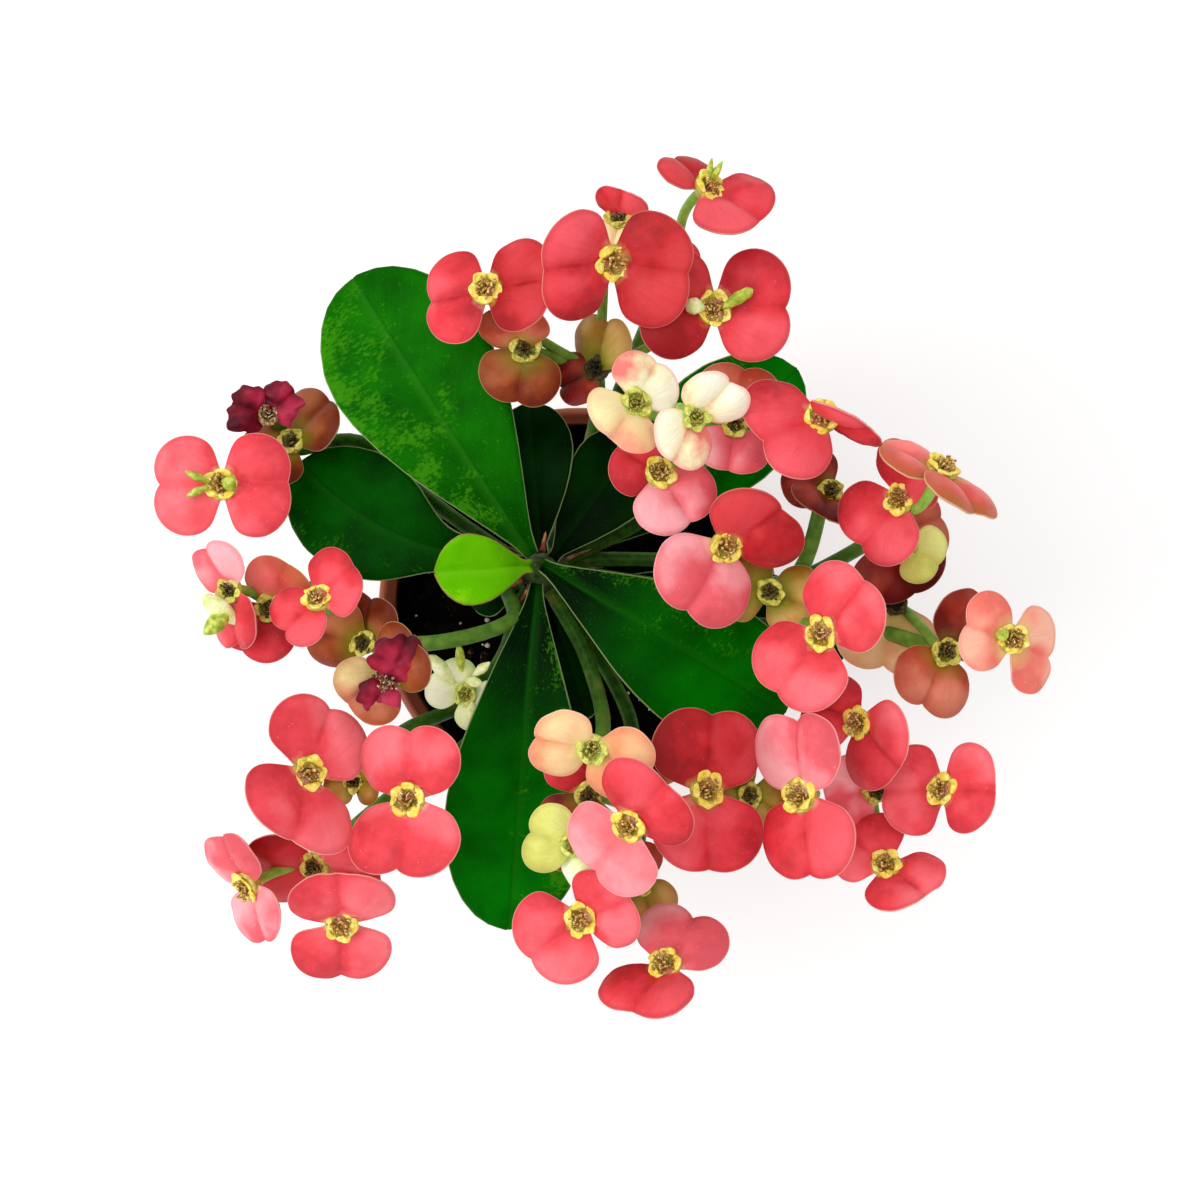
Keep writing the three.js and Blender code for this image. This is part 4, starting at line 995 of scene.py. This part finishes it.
def shape_bract(mesh, row, second, seed):
    """Bends a copy of the master to one bract of a head. Notes how near each point is to the rim
    and how light it is, with painted light on the lobes, painted shade in the groove and a painted
    slope of light across the blade over its own random tone, and lays the UV map out as a fan from
    the foot."""
    chance = random.Random(seed)
    reach = bract_clefts[chance.choice(sorted(bract_clefts))]
    lift, swing, roll, part = row["blades"][second]
    size = row["size"] * part
    crumple, ragged, shrunk = crumple_plain, 0.0, 1.0
    if row["finish"][second] == "crimson":
        reach = bract_clefts[withered_lobes]
        crumple, ragged, shrunk = crumple_withered, ragged_withered, shrunk_withered
    bulge, curl = chance.uniform(*bulge_range), chance.uniform(*curl_range)
    groove = chance.uniform(*groove_range)
    uneven = chance.uniform(*uneven_range)
    tone = chance.uniform(*tone_range)
    # Painted light and shade: a slope of light across the bract, in a random direction.
    sunny = heading_vector(chance.uniform(0, 360)) * painted_light_slope
    place = (Matrix.Translation(row["at"]) @ head_turn(row)
             @ Matrix.Rotation(math.pi * second + math.radians(swing), 4, "Z")
             @ Matrix.Translation((0, 0, -1.5 - 0.5 * second))
             @ Matrix.Rotation(-math.radians(lift), 4, "Y")
             @ Matrix.Rotation(math.radians(roll), 4, "X"))
    rim, fan, tones = [], [], []
    for vertex, (share, angle) in zip(mesh.vertices, bract_polar):
        at = (angle / (2 * math.pi) * bract_points) % bract_points
        low = int(at)
        distance = reach[low] + (reach[(low + 1) % bract_points] - reach[low]) * (at - low)
        distance *= 1 + ragged * share * noise.noise(
            Vector((3 * math.cos(angle), 3 * math.sin(angle), seed)))
        x = bract_hub + distance * share * math.cos(angle)
        y = distance * share * math.sin(angle) * (1 + uneven * math.copysign(1, math.sin(angle)))
        y *= shrunk
        lobes = math.exp(-((x - lobe_ahead) ** 2 + (abs(y) - lobe_aside) ** 2) / lobe_spread)
        valley = math.exp(-(y / groove_half) ** 2) * min(1, max(0, (x - 1) / 7))
        z = bulge * lobes - groove * valley
        z += curl * share ** 5 * min(1, x / 8)
        z += crumple * share * noise.noise(Vector((x / 8, y / 8, seed * 1.7)))
        z += 0.25 * crumple * noise.noise(Vector((x / 3, y / 3, seed * 2.3)))
        rim.append(share)
        # The tone carries painted light and shade: lighter on the bulging lobes, darker in the
        # groove to the notch, and the painted slope of light, over a random tone of the bract's
        # own.
        tones.append(tone + sunny.x * (x - 10) + sunny.y * y - 0.25 * valley + 0.14 * lobes
                     + 0.45 * noise.noise(Vector((x / 8, y / 8, seed * 0.9))))
        fan.append((math.atan2(y, x + 2), math.hypot(x + 2, y) / 22))
        vertex.co = (place @ Vector((x * size, y * size, z * math.sqrt(size)))) * mm
    float_attribute(mesh, "rim", rim)
    float_attribute(mesh, "tone", tones)
    veins = mesh.uv_layers[0] if mesh.uv_layers else mesh.uv_layers.new(name="veins")
    for loop in mesh.loops:
        veins.data[loop.index].uv = (fan[loop.vertex_index][0] / math.pi + 0.5,
                                     fan[loop.vertex_index][1])


def bract_skin(name, body, light, shade, edge, foot, mottle, reach, border):
    # A thin waxy petal-like blade: satin, a little see-through, mottled over a few millimetres,
    # with fine veins that fan out from its foot, tiny dark specks, pale dots that are partly real
    # specks and partly painted glints, and a pale worn edge. The mottles carry the painted light
    # and shade of the tone, the pale foot of a fresh bract is a painted highlight round the cup,
    # and the darker border is partly the browned edge of old bracts and partly painted shade under
    # the curled rim.
    m = new_material("bract_" + name)
    place = add_node(m, "TexCoord", give="Object")
    flat = add_node(m, "TexCoord", give="UV")
    cloud = add_node(m, "TexNoise", {"Vector": place, "Scale": 1 / (9 * mm), "Detail": 2.0})
    patch = add_node(m, "TexNoise", {"Vector": place, "Scale": 1 / (3.5 * mm), "Detail": 4.0})
    fine = add_node(m, "TexNoise", {"Vector": place, "Scale": 1 / (0.45 * mm), "Detail": 2.0})
    spots = add_node(m, "TexVoronoi", {"Vector": place, "Scale": 1 / (2.6 * mm)}, give="Distance")
    fan = add_node(m, "Mapping", {"Vector": flat, "Scale": (38, 2.2, 1)})
    vein = add_node(m, "TexNoise", {"Vector": fan, "Scale": 1.0, "Detail": 3.0})
    # Painted light and shade: through the light and dark mottles, the tone lightens the lobes and
    # darkens the groove.
    tone = add_node(m, "Attribute", give="Fac", attribute_name="tone")
    sunny = add_node(m, "Math", {0: cloud, 1: 1.2, 2: tone}, operation="MULTIPLY_ADD")
    light_share = add_node(m, "MapRange", {
        "Value": sunny, "From Min": 0.5, "From Max": 1.15, "To Max": mottle})
    lit = add_node(m, "MixRGB", {
        "Fac": light_share, "Color1": linear(body), "Color2": linear(light)})
    shady = add_node(m, "Math", {0: patch, 1: tone}, operation="SUBTRACT")
    dark_share = add_node(m, "MapRange", {
        "Value": shady, "From Min": 0.5, "From Max": 1.1, "To Max": mottle})
    mottled = add_node(m, "MixRGB", {"Fac": dark_share, "Color1": lit, "Color2": linear(shade)})
    veining = add_node(m, "MapRange", {
        "Value": vein, "From Min": 0.5, "From Max": 0.75, "To Max": 0.16})
    veined = add_node(m, "MixRGB", {"Fac": veining, "Color1": mottled, "Color2": linear(shade)})
    speck = add_node(m, "MapRange", {
        "Value": fine, "From Min": 0.52, "From Max": 0.7, "To Max": 0.14})
    specked = add_node(m, "MixRGB", {"Fac": speck, "Color1": veined, "Color2": linear(shade)})
    # Partly painted highlight: the pale dots are real specks and also small painted glints.
    dot = add_node(m, "MapRange", {
        "Value": spots, "From Min": 0.11, "From Max": 0.05, "To Max": 0.5})
    specked_and_glinted = add_node(m, "MixRGB", {"Fac": dot, "Color1": specked, "Color2": linear(light)})
    # Painted highlight on fresh red bracts: their foot is painted pale round the cup. On young and
    # old bracts the foot colour is their real green base.
    near = add_node(m, "SeparateXYZ", {"Vector": flat}, give="Y")
    from_foot = add_node(m, "Math", {0: patch, 1: -0.25, 2: near}, operation="MULTIPLY_ADD")
    at_foot = add_node(m, "MapRange", {
        "Value": from_foot, "From Min": reach, "From Max": 0.08, "To Max": 0.9})
    based = add_node(m, "MixRGB", {"Fac": at_foot, "Color1": specked_and_glinted, "Color2": linear(foot)})
    rim = add_node(m, "Attribute", give="Fac", attribute_name="rim")
    # Partly painted shade: the darker border is the browned edge of old bracts, and on fresh ones
    # painted shade where the rim curls down.
    by_rim = add_node(m, "MapRange", {
        "Value": rim, "From Min": 0.98 - border, "From Max": 0.98, "To Max": 0.35 + 0.5 * border})
    bordered = add_node(m, "MixRGB", {"Fac": by_rim, "Color1": based, "Color2": linear(shade)})
    on_rim = add_node(m, "MapRange", {
        "Value": rim, "From Min": 0.98, "From Max": 0.998, "To Max": 0.5})
    colour = add_node(m, "MixRGB", {"Fac": on_rim, "Color1": bordered, "Color2": linear(edge)})
    relief = add_node(m, "Math", {0: vein, 1: 0.6, 2: fine}, operation="MULTIPLY_ADD")
    bump = add_node(m, "Bump", {"Height": relief, "Strength": 0.2, "Distance": 0.2 * mm})
    rough = add_node(m, "MapRange", {"Value": patch, "To Min": 0.34, "To Max": 0.54})
    shader = add_node(m, "BsdfPrincipled", {
        "Base Color": colour, "Roughness": rough, "Normal": bump, "IOR": 1.4,
        "Specular IOR Level": 0.25, "Subsurface Weight": 0.08, "Subsurface Scale": 0.001})
    add_node(m, "OutputMaterial", {"Surface": shader})
    return m


# Finish: body, light mottle, dark mottle, edge, foot colour, how strongly it is mottled, how far
# the foot colour reaches and how wide the darker border is. On the fresh red finishes the pale
# foot colour is a painted highlight round the cup; on the others it is the bract's green base.
bract_finishes = {
    "coral": ("#dc3640", "#f05e68", "#a61e26", "#f6b8a8", "#e8a888", 0.8, 0.2, 0.1),
    # Painted light: the coral red painted lighter, as where more light falls on a bract.
    "bright": ("#ea4852", "#fa7c84", "#c22e38", "#fccabc", "#f4bca0", 0.8, 0.2, 0.1),
    # Painted shade: the coral red painted deeper, as on a bract in shade.
    "shaded_coral": ("#c0242a", "#da444a", "#8a1014", "#f0a090", "#d0a058", 0.8, 0.2, 0.1),
    "rose": ("#ec626c", "#fcb0b6", "#d0505a", "#fcd4cc", "#f0d0b0", 0.9, 0.2, 0.1),
    # Painted highlight: the rose painted paler, as where the light glances off a lobe.
    "rose_painted_highlight": ("#fa8a90", "#ffc0c8", "#ee6c74", "#fcdcd4", "#f4d4b8", 0.9, 0.2, 0.1),
    "shell": ("#f07c6c", "#f8bca0", "#e0685c", "#fcd8c8", "#e4d088", 0.9, 0.4, 0.1),
    "salmon": ("#f2a878", "#fcdca4", "#e08468", "#fce4cc", "#d4d07c", 0.9, 0.34, 0.2),
    "peach": ("#f8d09c", "#faf0b4", "#f0a084", "#f8c8b4", "#ccd870", 0.9, 0.3, 0.1),
    "cream": ("#fff8c4", "#ffffe8", "#f08078", "#fcc8bc", "#d8e480", 1.0, 0.26, 0.1),
    "blush": ("#e4bc80", "#f4e0b0", "#d88c6c", "#fce4d4", "#acac40", 0.8, 0.4, 0.2),
    "kidney": ("#c47456", "#e0c488", "#a8542c", "#fce4d4", "#a8a840", 1.0, 0.4, 0.2),
    "faded": ("#d4504a", "#fc7c78", "#b0602c", "#f0d0a8", "#b08c20", 1.0, 0.36, 0.4),
    "rust": ("#b0582e", "#d08c5c", "#843014", "#ecd8a8", "#7c8c10", 0.9, 0.5, 0.3),
    "russet": ("#8e3c0e", "#bc6c3c", "#641800", "#ecdca0", "#70800c", 0.9, 0.5, 0.4),
    "maroon": ("#781004", "#b44432", "#540600", "#dca484", "#70680a", 0.9, 0.34, 0.3),
    "dusky": ("#c4543c", "#e08c70", "#983014", "#f0d0a8", "#908410", 0.9, 0.44, 0.4),
    "olive": ("#9a7620", "#cca85c", "#84400c", "#e4d49c", "#6c8810", 1.0, 0.55, 0.3),
    "lime": ("#dadc70", "#f0f49c", "#b0ac48", "#f4f4d0", "#9cb440", 0.6, 0.3, 0.1),
    "crimson": ("#940c2c", "#c03454", "#480214", "#d87888", "#740a24", 1.0, 0.2, 0.2),
    "bud": ("#f0f6c0", "#fffff0", "#b8d874", "#ffffff", "#9cc844", 0.7, 0.36, 0.1),
}
bract_materials = {name: bract_skin(name, *row) for name, row in bract_finishes.items()}


def bract_pair(name, row, seed):
    """The two bracts of a head as one piece, each with its own finish."""
    blades = []
    for second in (0, 1):
        blade = copy_of(bract_master)
        shape_bract(blade.data, row, second, seed * 2 + second)
        blade.data.materials.append(bract_materials[row["finish"][second]])
        blades.append(blade)
    piece = joined(name, blades)
    thicken(piece, bract_thickness)
    return piece


# The cup in the middle of each head holds the true flowers. Five bean-shaped nectar glands stand
# on its rim, and a tuft of stamens with two-lobed anthers, dusty with pollen, fills it.
cup_profile = [(0.9, -6.2), (1.45, -6.0), (1.6, -5.2), (2.1, -4.2), (3.2, -2.8), (4.2, -1.5),
               (4.6, -0.7), (4.4, -0.1), (3.6, 0.2), (2.6, -0.6), (1.3, -1.3), (0.5, -1.5)]
cup_segments, gland_ring, gland_rise, gland_number = 20, 3.75, 0.45, 5
gland_sizes = (1.0, 0.86, 1.08, 0.92, 1.02)
gland_half_width, gland_half_length, gland_half_height, gland_bend = 1.15, 2.3, 0.75, 0.68
stamen_number, tuft_seed, tuft_radius, tuft_foot, thread_heights = 18, 31, 2.2, -1.4, (0.4, 2.6)
thread_radii, sac_sizes, sac_apart = (0.24, 0.15), (0.36, 0.52), 0.36


def gland_ring_master():
    """Five glands on the cup's rim: thin, lip-like beans, each with a hollow along its top."""
    glands = []
    for number in range(gland_number):
        bpy.ops.object.select_all(action="DESELECT")
        bpy.ops.mesh.primitive_uv_sphere_add(segments=18, ring_count=9, radius=1)
        gland = bpy.context.object
        for vertex in gland.data.vertices:
            x, y, z = vertex.co
            dent = 0.4 * math.exp(-(x / 0.45) ** 2 - (y / 0.75) ** 2) if z > 0 else 0
            wave = 0.14 * noise.noise(Vector((x * 1.3, y * 1.6, number * 3.1)))
            vertex.co = Vector((
                x * (gland_half_width + wave) - gland_bend * y * y, y * (gland_half_length + wave),
                (z * gland_half_height - dent) + 0.15 * x + wave))
        angle = 2 * math.pi * (number + 0.5) / gland_number
        gland.data.transform(Matrix.Scale(mm, 4) @ Matrix.Rotation(angle, 4, "Z")
                             @ Matrix.Translation((gland_ring, 0, gland_rise))
                             @ Matrix.Scale(gland_sizes[number], 4))
        glands.append(gland)
    return joined("gland_ring", glands)


def stamen_tuft_master():
    """A tuft of stamens: a thin bent thread with two pollen sacs, copied at all angles."""
    chance = random.Random(tuft_seed)
    parts = []
    for number in range(stamen_number):
        distance = tuft_radius * math.sqrt((number + 0.5) / stamen_number)
        tall = chance.uniform(*thread_heights)
        toward = heading_vector(number * golden_angle)
        foot = toward * distance * 0.6 + Vector((0, 0, tuft_foot))
        tip = toward * (distance + chance.uniform(0.0, 1.2) ** 2) + Vector((0, 0, tall))
        lean = (tip - foot).to_track_quat("Z", "X").to_matrix().to_4x4()
        bpy.ops.object.select_all(action="DESELECT")
        bpy.ops.mesh.primitive_cone_add(
            vertices=5, radius1=thread_radii[0], radius2=thread_radii[1],
            depth=(tip - foot).length)
        thread = bpy.context.object
        thread.data.transform(Matrix.Scale(mm, 4) @ Matrix.Translation((foot + tip) / 2) @ lean)
        parts.append(thread)
        for side in (-1, 1):
            bpy.ops.mesh.primitive_ico_sphere_add(
                subdivisions=1, radius=chance.uniform(*sac_sizes))
            sac = bpy.context.object
            for vertex in sac.data.vertices:
                vertex.co *= 1 + 0.3 * noise.noise(vertex.co * 3 + Vector((number, side, 0)))
            sac.data.transform(
                Matrix.Scale(mm, 4) @ Matrix.Translation(tip) @ lean
                @ Matrix.Rotation(chance.uniform(0, 3), 4, "Z")
                @ Matrix.Translation((side * sac_apart, 0, 0.05))
                @ Matrix.Diagonal((1, 0.85, 1.35, 1)))
            parts.append(sac)
    return joined("stamen_tuft", parts)


def fleshy(name, low, body, light, grain, roughness, relief):
    """A small fleshy part of the head: mottled over a fraction of a millimetre."""
    m = new_material(name)
    place = add_node(m, "TexCoord", give="Object")
    patch = add_node(m, "TexNoise", {"Vector": place, "Scale": 1 / (grain * mm), "Detail": 4.0,
                                     "Roughness": 0.65})
    colour = add_node(m, "ValToRGB", {"Fac": patch}, stops=[
        (0.33, linear(low)), (0.66, linear(light)), (0.5, linear(body))])
    bump = add_node(m, "Bump", {"Height": patch, "Strength": 0.6, "Distance": relief * mm})
    shader = add_node(m, "BsdfPrincipled", {
        "Base Color": colour, "Roughness": roughness, "Normal": bump, "Subsurface Weight": 0.1,
        "Subsurface Scale": 0.001})
    add_node(m, "OutputMaterial", {"Surface": shader})
    return m


cup_master = turned_piece("cup", cup_profile, cup_segments)
gland_master = gland_ring_master()
stamen_master = stamen_tuft_master()
# The skins of a head's parts, by its age: shadow, body and light colours, the grain of the
# mottling in mm, the roughness and the relief in mm.
head_skins = {}
for part, rows in {
    "cup": {
        "open": ("#908a28", "#b8ac3c", "#dcd068", 1.5, 0.5, 0.1),
        "young": ("#8aa83c", "#b8cc5c", "#dce68c", 1.5, 0.5, 0.1),
        "spent": ("#6c8010", "#a0a830", "#c8cc5c", 1.2, 0.6, 0.2),
        "black": ("#1c1a0c", "#3c3c18", "#707034", 1.0, 0.7, 0.3),
        "dried": ("#5a4a1c", "#8a7430", "#c0a864", 1.0, 0.7, 0.3),
    },
    "gland": {
        "open": ("#dcb828", "#f4dc50", "#fcf6a0", 1.3, 0.4, 0.08),
        "young": ("#a8b030", "#ccd050", "#ecec94", 1.1, 0.4, 0.08),
        "spent": ("#a49c28", "#ccc448", "#e8e080", 1.0, 0.5, 0.15),
        "black": ("#181408", "#3a3014", "#6c6028", 0.7, 0.8, 0.3),
        "dried": ("#4a3414", "#8a6c34", "#d8c49a", 0.8, 0.7, 0.25),
    },
    "stamen": {
        "open": ("#6c2c04", "#c08c28", "#fcecb0", 0.75, 0.65, 0.1),
        "young": ("#6a6410", "#a09428", "#dcd478", 0.8, 0.6, 0.1),
        "spent": ("#140a04", "#44300c", "#a89048", 0.7, 0.8, 0.2),
        "black": ("#080604", "#1c140a", "#4a3c1c", 0.7, 0.8, 0.3),
        "dried": ("#2a160a", "#8a6234", "#f0e0b8", 0.7, 0.8, 0.2),
    },
}.items():
    for age, row in rows.items():
        head_skins[part, age] = fleshy(part + "_" + age, *row)
stamen_heights = {"open": 1.0, "young": 0.55, "spent": 0.6, "dried": 0.7, "black": 0.9}


most_oval, push_size = 0.16, 2.6
# Unseeded, the noise that pushes the parts out of shape would be another one in every run.
noise.seed_set(1)


def placed_copy(master, row, material, seed, height=1.0, tilt=0.0, uneven=0.0):
    """A copy of a master on a head's face, turned at random about the head's own middle, tilted by
    up to so many radians and pushed out of shape by up to so many mm."""
    grow = row["size"] ** 0.5
    copy = copy_of(master)
    chance = random.Random(seed)
    wide = 1 + uneven * chance.uniform(-most_oval, most_oval)
    for vertex in copy.data.vertices:
        push = noise.noise_vector(vertex.co / (push_size * mm) + Vector((seed * 3.7, 0, 0)))
        vertex.co += push * uneven * mm
    copy.data.transform(
        Matrix.Translation(row["at"] * mm) @ head_turn(row)
        @ Matrix.Rotation(chance.uniform(-tilt, tilt), 4, "X")
        @ Matrix.Rotation(chance.uniform(-tilt, tilt), 4, "Y")
        @ Matrix.Rotation(chance.uniform(0, 2 * math.pi), 4, "Z")
        @ Matrix.Diagonal((grow * wide, grow / wide, height, 1)))
    copy.data.materials.clear()
    copy.data.materials.append(material)
    return copy


# Every head gets its bracts, cup, glands and stamens. A named head's bracts are a piece of their
# own. The old and small heads' bracts on a stalk are one piece, and so are all its cups, all its
# glands and all its stamens.
green = green_stalk()
pale_heads = ("centre_2", "centre_3", "front_1")
gland_seed, stamen_seed = 100, 200
seed = 0
for stalk, height, heading, bends, fork, heads, grown in trusses:
    tubes = [green_tube("tube", stalk_path(height, heading, bends, fork), peduncle_radius, seed)]
    for row in heads + grown:
        tubes.append(green_tube("tube", branch_path(fork, row), branch_radius, seed + len(tubes)))
    node = "flower_stalk_" + stalk
    dress(joined("green_stalk_" + stalk, tubes), green, [node])
    own, cups, glands, stamens = [], [], [], []
    for row in [fork] + heads + grown:
        seed += 1
        if row["name"]:
            slot = "pale_bract" if row["name"] in pale_heads else "bract"
            dress(bract_pair("bracts_" + row["name"], row, seed), None,
                  ["flower_" + row["name"]])
        else:
            own.append(bract_pair("old_bracts", row, seed))
        age = row["age"]
        cups.append(placed_copy(cup_master, row, head_skins["cup", age], seed))
        glands.append(placed_copy(
            gland_master, row, head_skins["gland", age], seed + gland_seed,
            height=1, tilt=0.12, uneven=0.75))
        stamens.append(placed_copy(
            stamen_master, row, head_skins["stamen", age], seed + stamen_seed,
            height=stamen_heights[age], tilt=0.22, uneven=0.6))
    every = [node] + ["flower_" + row["name"] for row in heads]
    dress(joined("old_bracts_" + stalk, own), None, [node])
    for name, parts, slot in (("cups_", cups, "stalk"), ("glands_", glands, "pale_bract"),
                              ("stamens_", stamens, "bark")):
        dress(joined(name + stalk, parts), None, every)

# On one old head a younger one has withered: its two small bracts are a crumpled crimson bow.
withered = head_row("", (-49.3, -19.2, 218.8), 62, 8, 300, 0.6,
                    (14, 0, 10, 1.1), (16, 0, -10, 0.85), ("crimson", "crimson"), "dried")
dress(bract_pair("withered_bracts", withered, seed=90), None, ["flower_left_3"])
withered_tuft = placed_copy(
    stamen_master, withered, head_skins["stamen", "dried"], seed=300,
    height=0.9, tilt=0.2, uneven=0.6)
dress(withered_tuft, None, ["flower_left_3"])
for master in (bract_master, cup_master, gland_master, stamen_master):
    bpy.data.objects.remove(master)

# ---- closed buds ----
# The next heads of some branches are still shut: smooth green horns, domes and pointed buds, each
# a tight roll of young bracts that stands beside an open head's cup, grown from the same stalk.
# Each row: piece, foot, tip, greatest width, how blunt it is, finish.
bud_rows = [
    ("flower_back_4", (35.4, 110.2, 225.4), (38.8, 115.5, 230.5), 2.0, 0.5, "green"),
    ("flower_back_4", (35.0, 110.4, 225.4), (36.0, 116.2, 231.0), 1.8, 0.5, "green"),
    ("flower_back_3", (34.6, 78.9, 222.6), (29.6, 79.4, 224.6), 4.4, 0.9, "pale"),
    ("flower_back_3", (39.2, 78.8, 222.4), (46.9, 83.0, 227.2), 3.3, 1.0, "green"),
    ("flower_left_1", (-100.6, 34.7, 198.4), (-107.2, 37.8, 201.0), 2.2, 0.6, "green"),
    ("flower_left_1", (-100.6, 34.0, 198.4), (-106.8, 30.8, 201.0), 2.2, 0.6, "green"),
    ("flower_left_1", (-95.6, 34.4, 197.5), (-94.4, 34.6, 201.2), 4.2, 0.9, "green"),
    ("flower_right_1", (112.9, -7.0, 221.4), (111.8, -6.2, 225.0), 3.6, 0.9, "green"),
    ("flower_stalk_left_far", (-92.8, -0.6, 207.6), (-99.6, -7.0, 210.8), 5.0, 0.6, "green"),
    ("flower_stalk_left_far", (-90.4, -4.4, 206.0), (-100.6, 3.6, 208.4), 5.6, 0.7, "pale"),
    ("flower_stalk_left_young", (-32.4, -18.9, 180.6), (-33.0, -9.1, 187.0), 2.6, 0.4, "green"),
    ("flower_stalk_left_young", (-31.6, -20.6, 181.0), (-26.4, -21.6, 185.0), 3.0, 0.7, "pale"),
    ("flower_stalk_left_young", (-30.2, -26.5, 179.6), (-28.8, -34.0, 178.6), 4.5, 0.3, "pale"),
    ("flower_stalk_left_young", (-34.6, -21.4, 181.0), (-41.6, -13.4, 185.0), 4.2, 0.8, "pale"),
    ("flower_stalk_left_young", (-29.4, -19.6, 181.4), (-24.2, -15.4, 184.6), 2.8, 0.5, "pale"),
]
bud_segments, roll, oval, seam_depth, seam_width, bud_bend = 16, 2.2, 0.09, 0.1, 0.22, 0.1


def closed_bud(foot, tip, width, blunt):
    """A spindle from its foot to its tip, with the seams of its rolled bracts running round it."""
    foot, tip = Vector(foot), Vector(tip)
    length = (tip - foot).length
    rings = [(0.3, 0), (0.42, 0.08), (0.75, 0.3), (1, 0.55), (0.94, 0.7)] + [
        (blunt * 0.75 + 0.1, 0.88), (blunt * 0.42 + 0.04, 0.96), (0.03, 1)]
    bud = turned_piece(
        "bud", [(0.5 * width * wide, length * high) for wide, high in rings], bud_segments)
    for vertex in bud.data.vertices:
        x, y, z = vertex.co / mm
        angle = math.atan2(y, x) + roll * z / length
        seam = math.exp(-(math.sin(angle) / seam_width) ** 2)
        grow = 1 + oval * math.cos(2 * angle) - seam_depth * seam
        bend = bud_bend * length * math.sin(math.pi * z / length)
        vertex.co = Vector((x * grow + bend, y * grow, z)) * mm
    bud.data.transform(
        Matrix.Translation(foot * mm) @ (tip - foot).to_track_quat("Z", "X").to_matrix().to_4x4())
    return bud


bud_skins = {
    "green": fleshy("bud_green", "#7c9414", "#a8b82c", "#dce078", 2.0, 0.4, 0.1),
    "pale": fleshy("bud_pale", "#c4dc74", "#e8f0a8", "#fbfddc", 2.4, 0.45, 0.1),
}
for node in sorted({row[0] for row in bud_rows}):
    buds = []
    for owner, *shape, finish in bud_rows:
        if owner == node:
            bud = closed_bud(*shape)
            bud.data.materials.append(bud_skins[finish])
            buds.append(bud)
    dress(joined("closed_buds_" + node, buds), None, [node])

# ---- studio ----
# A plain white table and soft light from all round, with one broad lamp above the plant, a little
# to the back left, and a window-like one on the left.
# The table top is a gap below the pot, so that the two faces don't lie in one plane.
table_size, table_gap, light_all_round, table_glow = 4, 0.0002, 0.83, 0.06
bpy.ops.object.select_all(action="DESELECT")
bpy.ops.mesh.primitive_plane_add(size=table_size, location=(0, 0, -table_gap))
floor = bpy.context.object
floor.name = "white_table"
# Matt white laminate: very slightly cloudy, nearly without gloss, and given a faint glow of its
# own, so that it stays white in the plant's soft shadow.
matt = new_material("white_table_top")
spot = add_node(matt, "TexNoise", {
    "Vector": add_node(matt, "TexCoord", give="Object"), "Scale": 3.0})
paint = add_node(matt, "ValToRGB", {"Fac": spot}, stops=[(0.0, grey(0.96)), (1.0, grey(0.995))])
add_node(matt, "OutputMaterial", {"Surface": add_node(matt, "BsdfPrincipled", {
    "Base Color": paint, "Roughness": 0.8, "Specular IOR Level": 0.2,
    "Emission Color": grey(1.0), "Emission Strength": table_glow})})
floor.data.materials.append(matt)

world = bpy.data.worlds.new("soft_white")
bpy.context.scene.world = world
world.use_nodes = True
world.node_tree.nodes["Background"].inputs["Color"].default_value = grey(1.0)
world.node_tree.nodes["Background"].inputs["Strength"].default_value = light_all_round


def soft_lamp(name, power, size, place, aim):
    """A square lamp of so many watts, as wide as its size in metres, aimed at a point."""
    lamp = bpy.data.lights.new(name, "AREA")
    lamp.energy, lamp.size = power, size
    holder = bpy.data.objects.new(name, lamp)
    holder.location = place
    holder.rotation_euler = (Vector(aim) - Vector(place)).to_track_quat("-Z", "Y").to_euler()
    bpy.context.collection.objects.link(holder)


soft_lamp("top_lamp", 4.4, 0.8, (-0.26, 0.32, 1.3), (0, 0, 0.15))
soft_lamp("window_lamp", 4.4, 0.4, (-1.0, -0.3, 0.95), (0, 0, 0.2))

# The camera stands 0.66 m above the table and looks straight down, with a normal lens.
camera = bpy.data.cameras.new("camera")
camera.lens, camera.sensor_width, camera.clip_start = 50, 36, 0.01
eye = bpy.data.objects.new("camera", camera)
eye.location = (0.00715, 0.0023, 0.66)
bpy.context.collection.objects.link(eye)
bpy.context.scene.camera = eye
bpy.context.scene.view_settings.view_transform = "Standard"
bpy.context.scene.view_settings.look = "None"
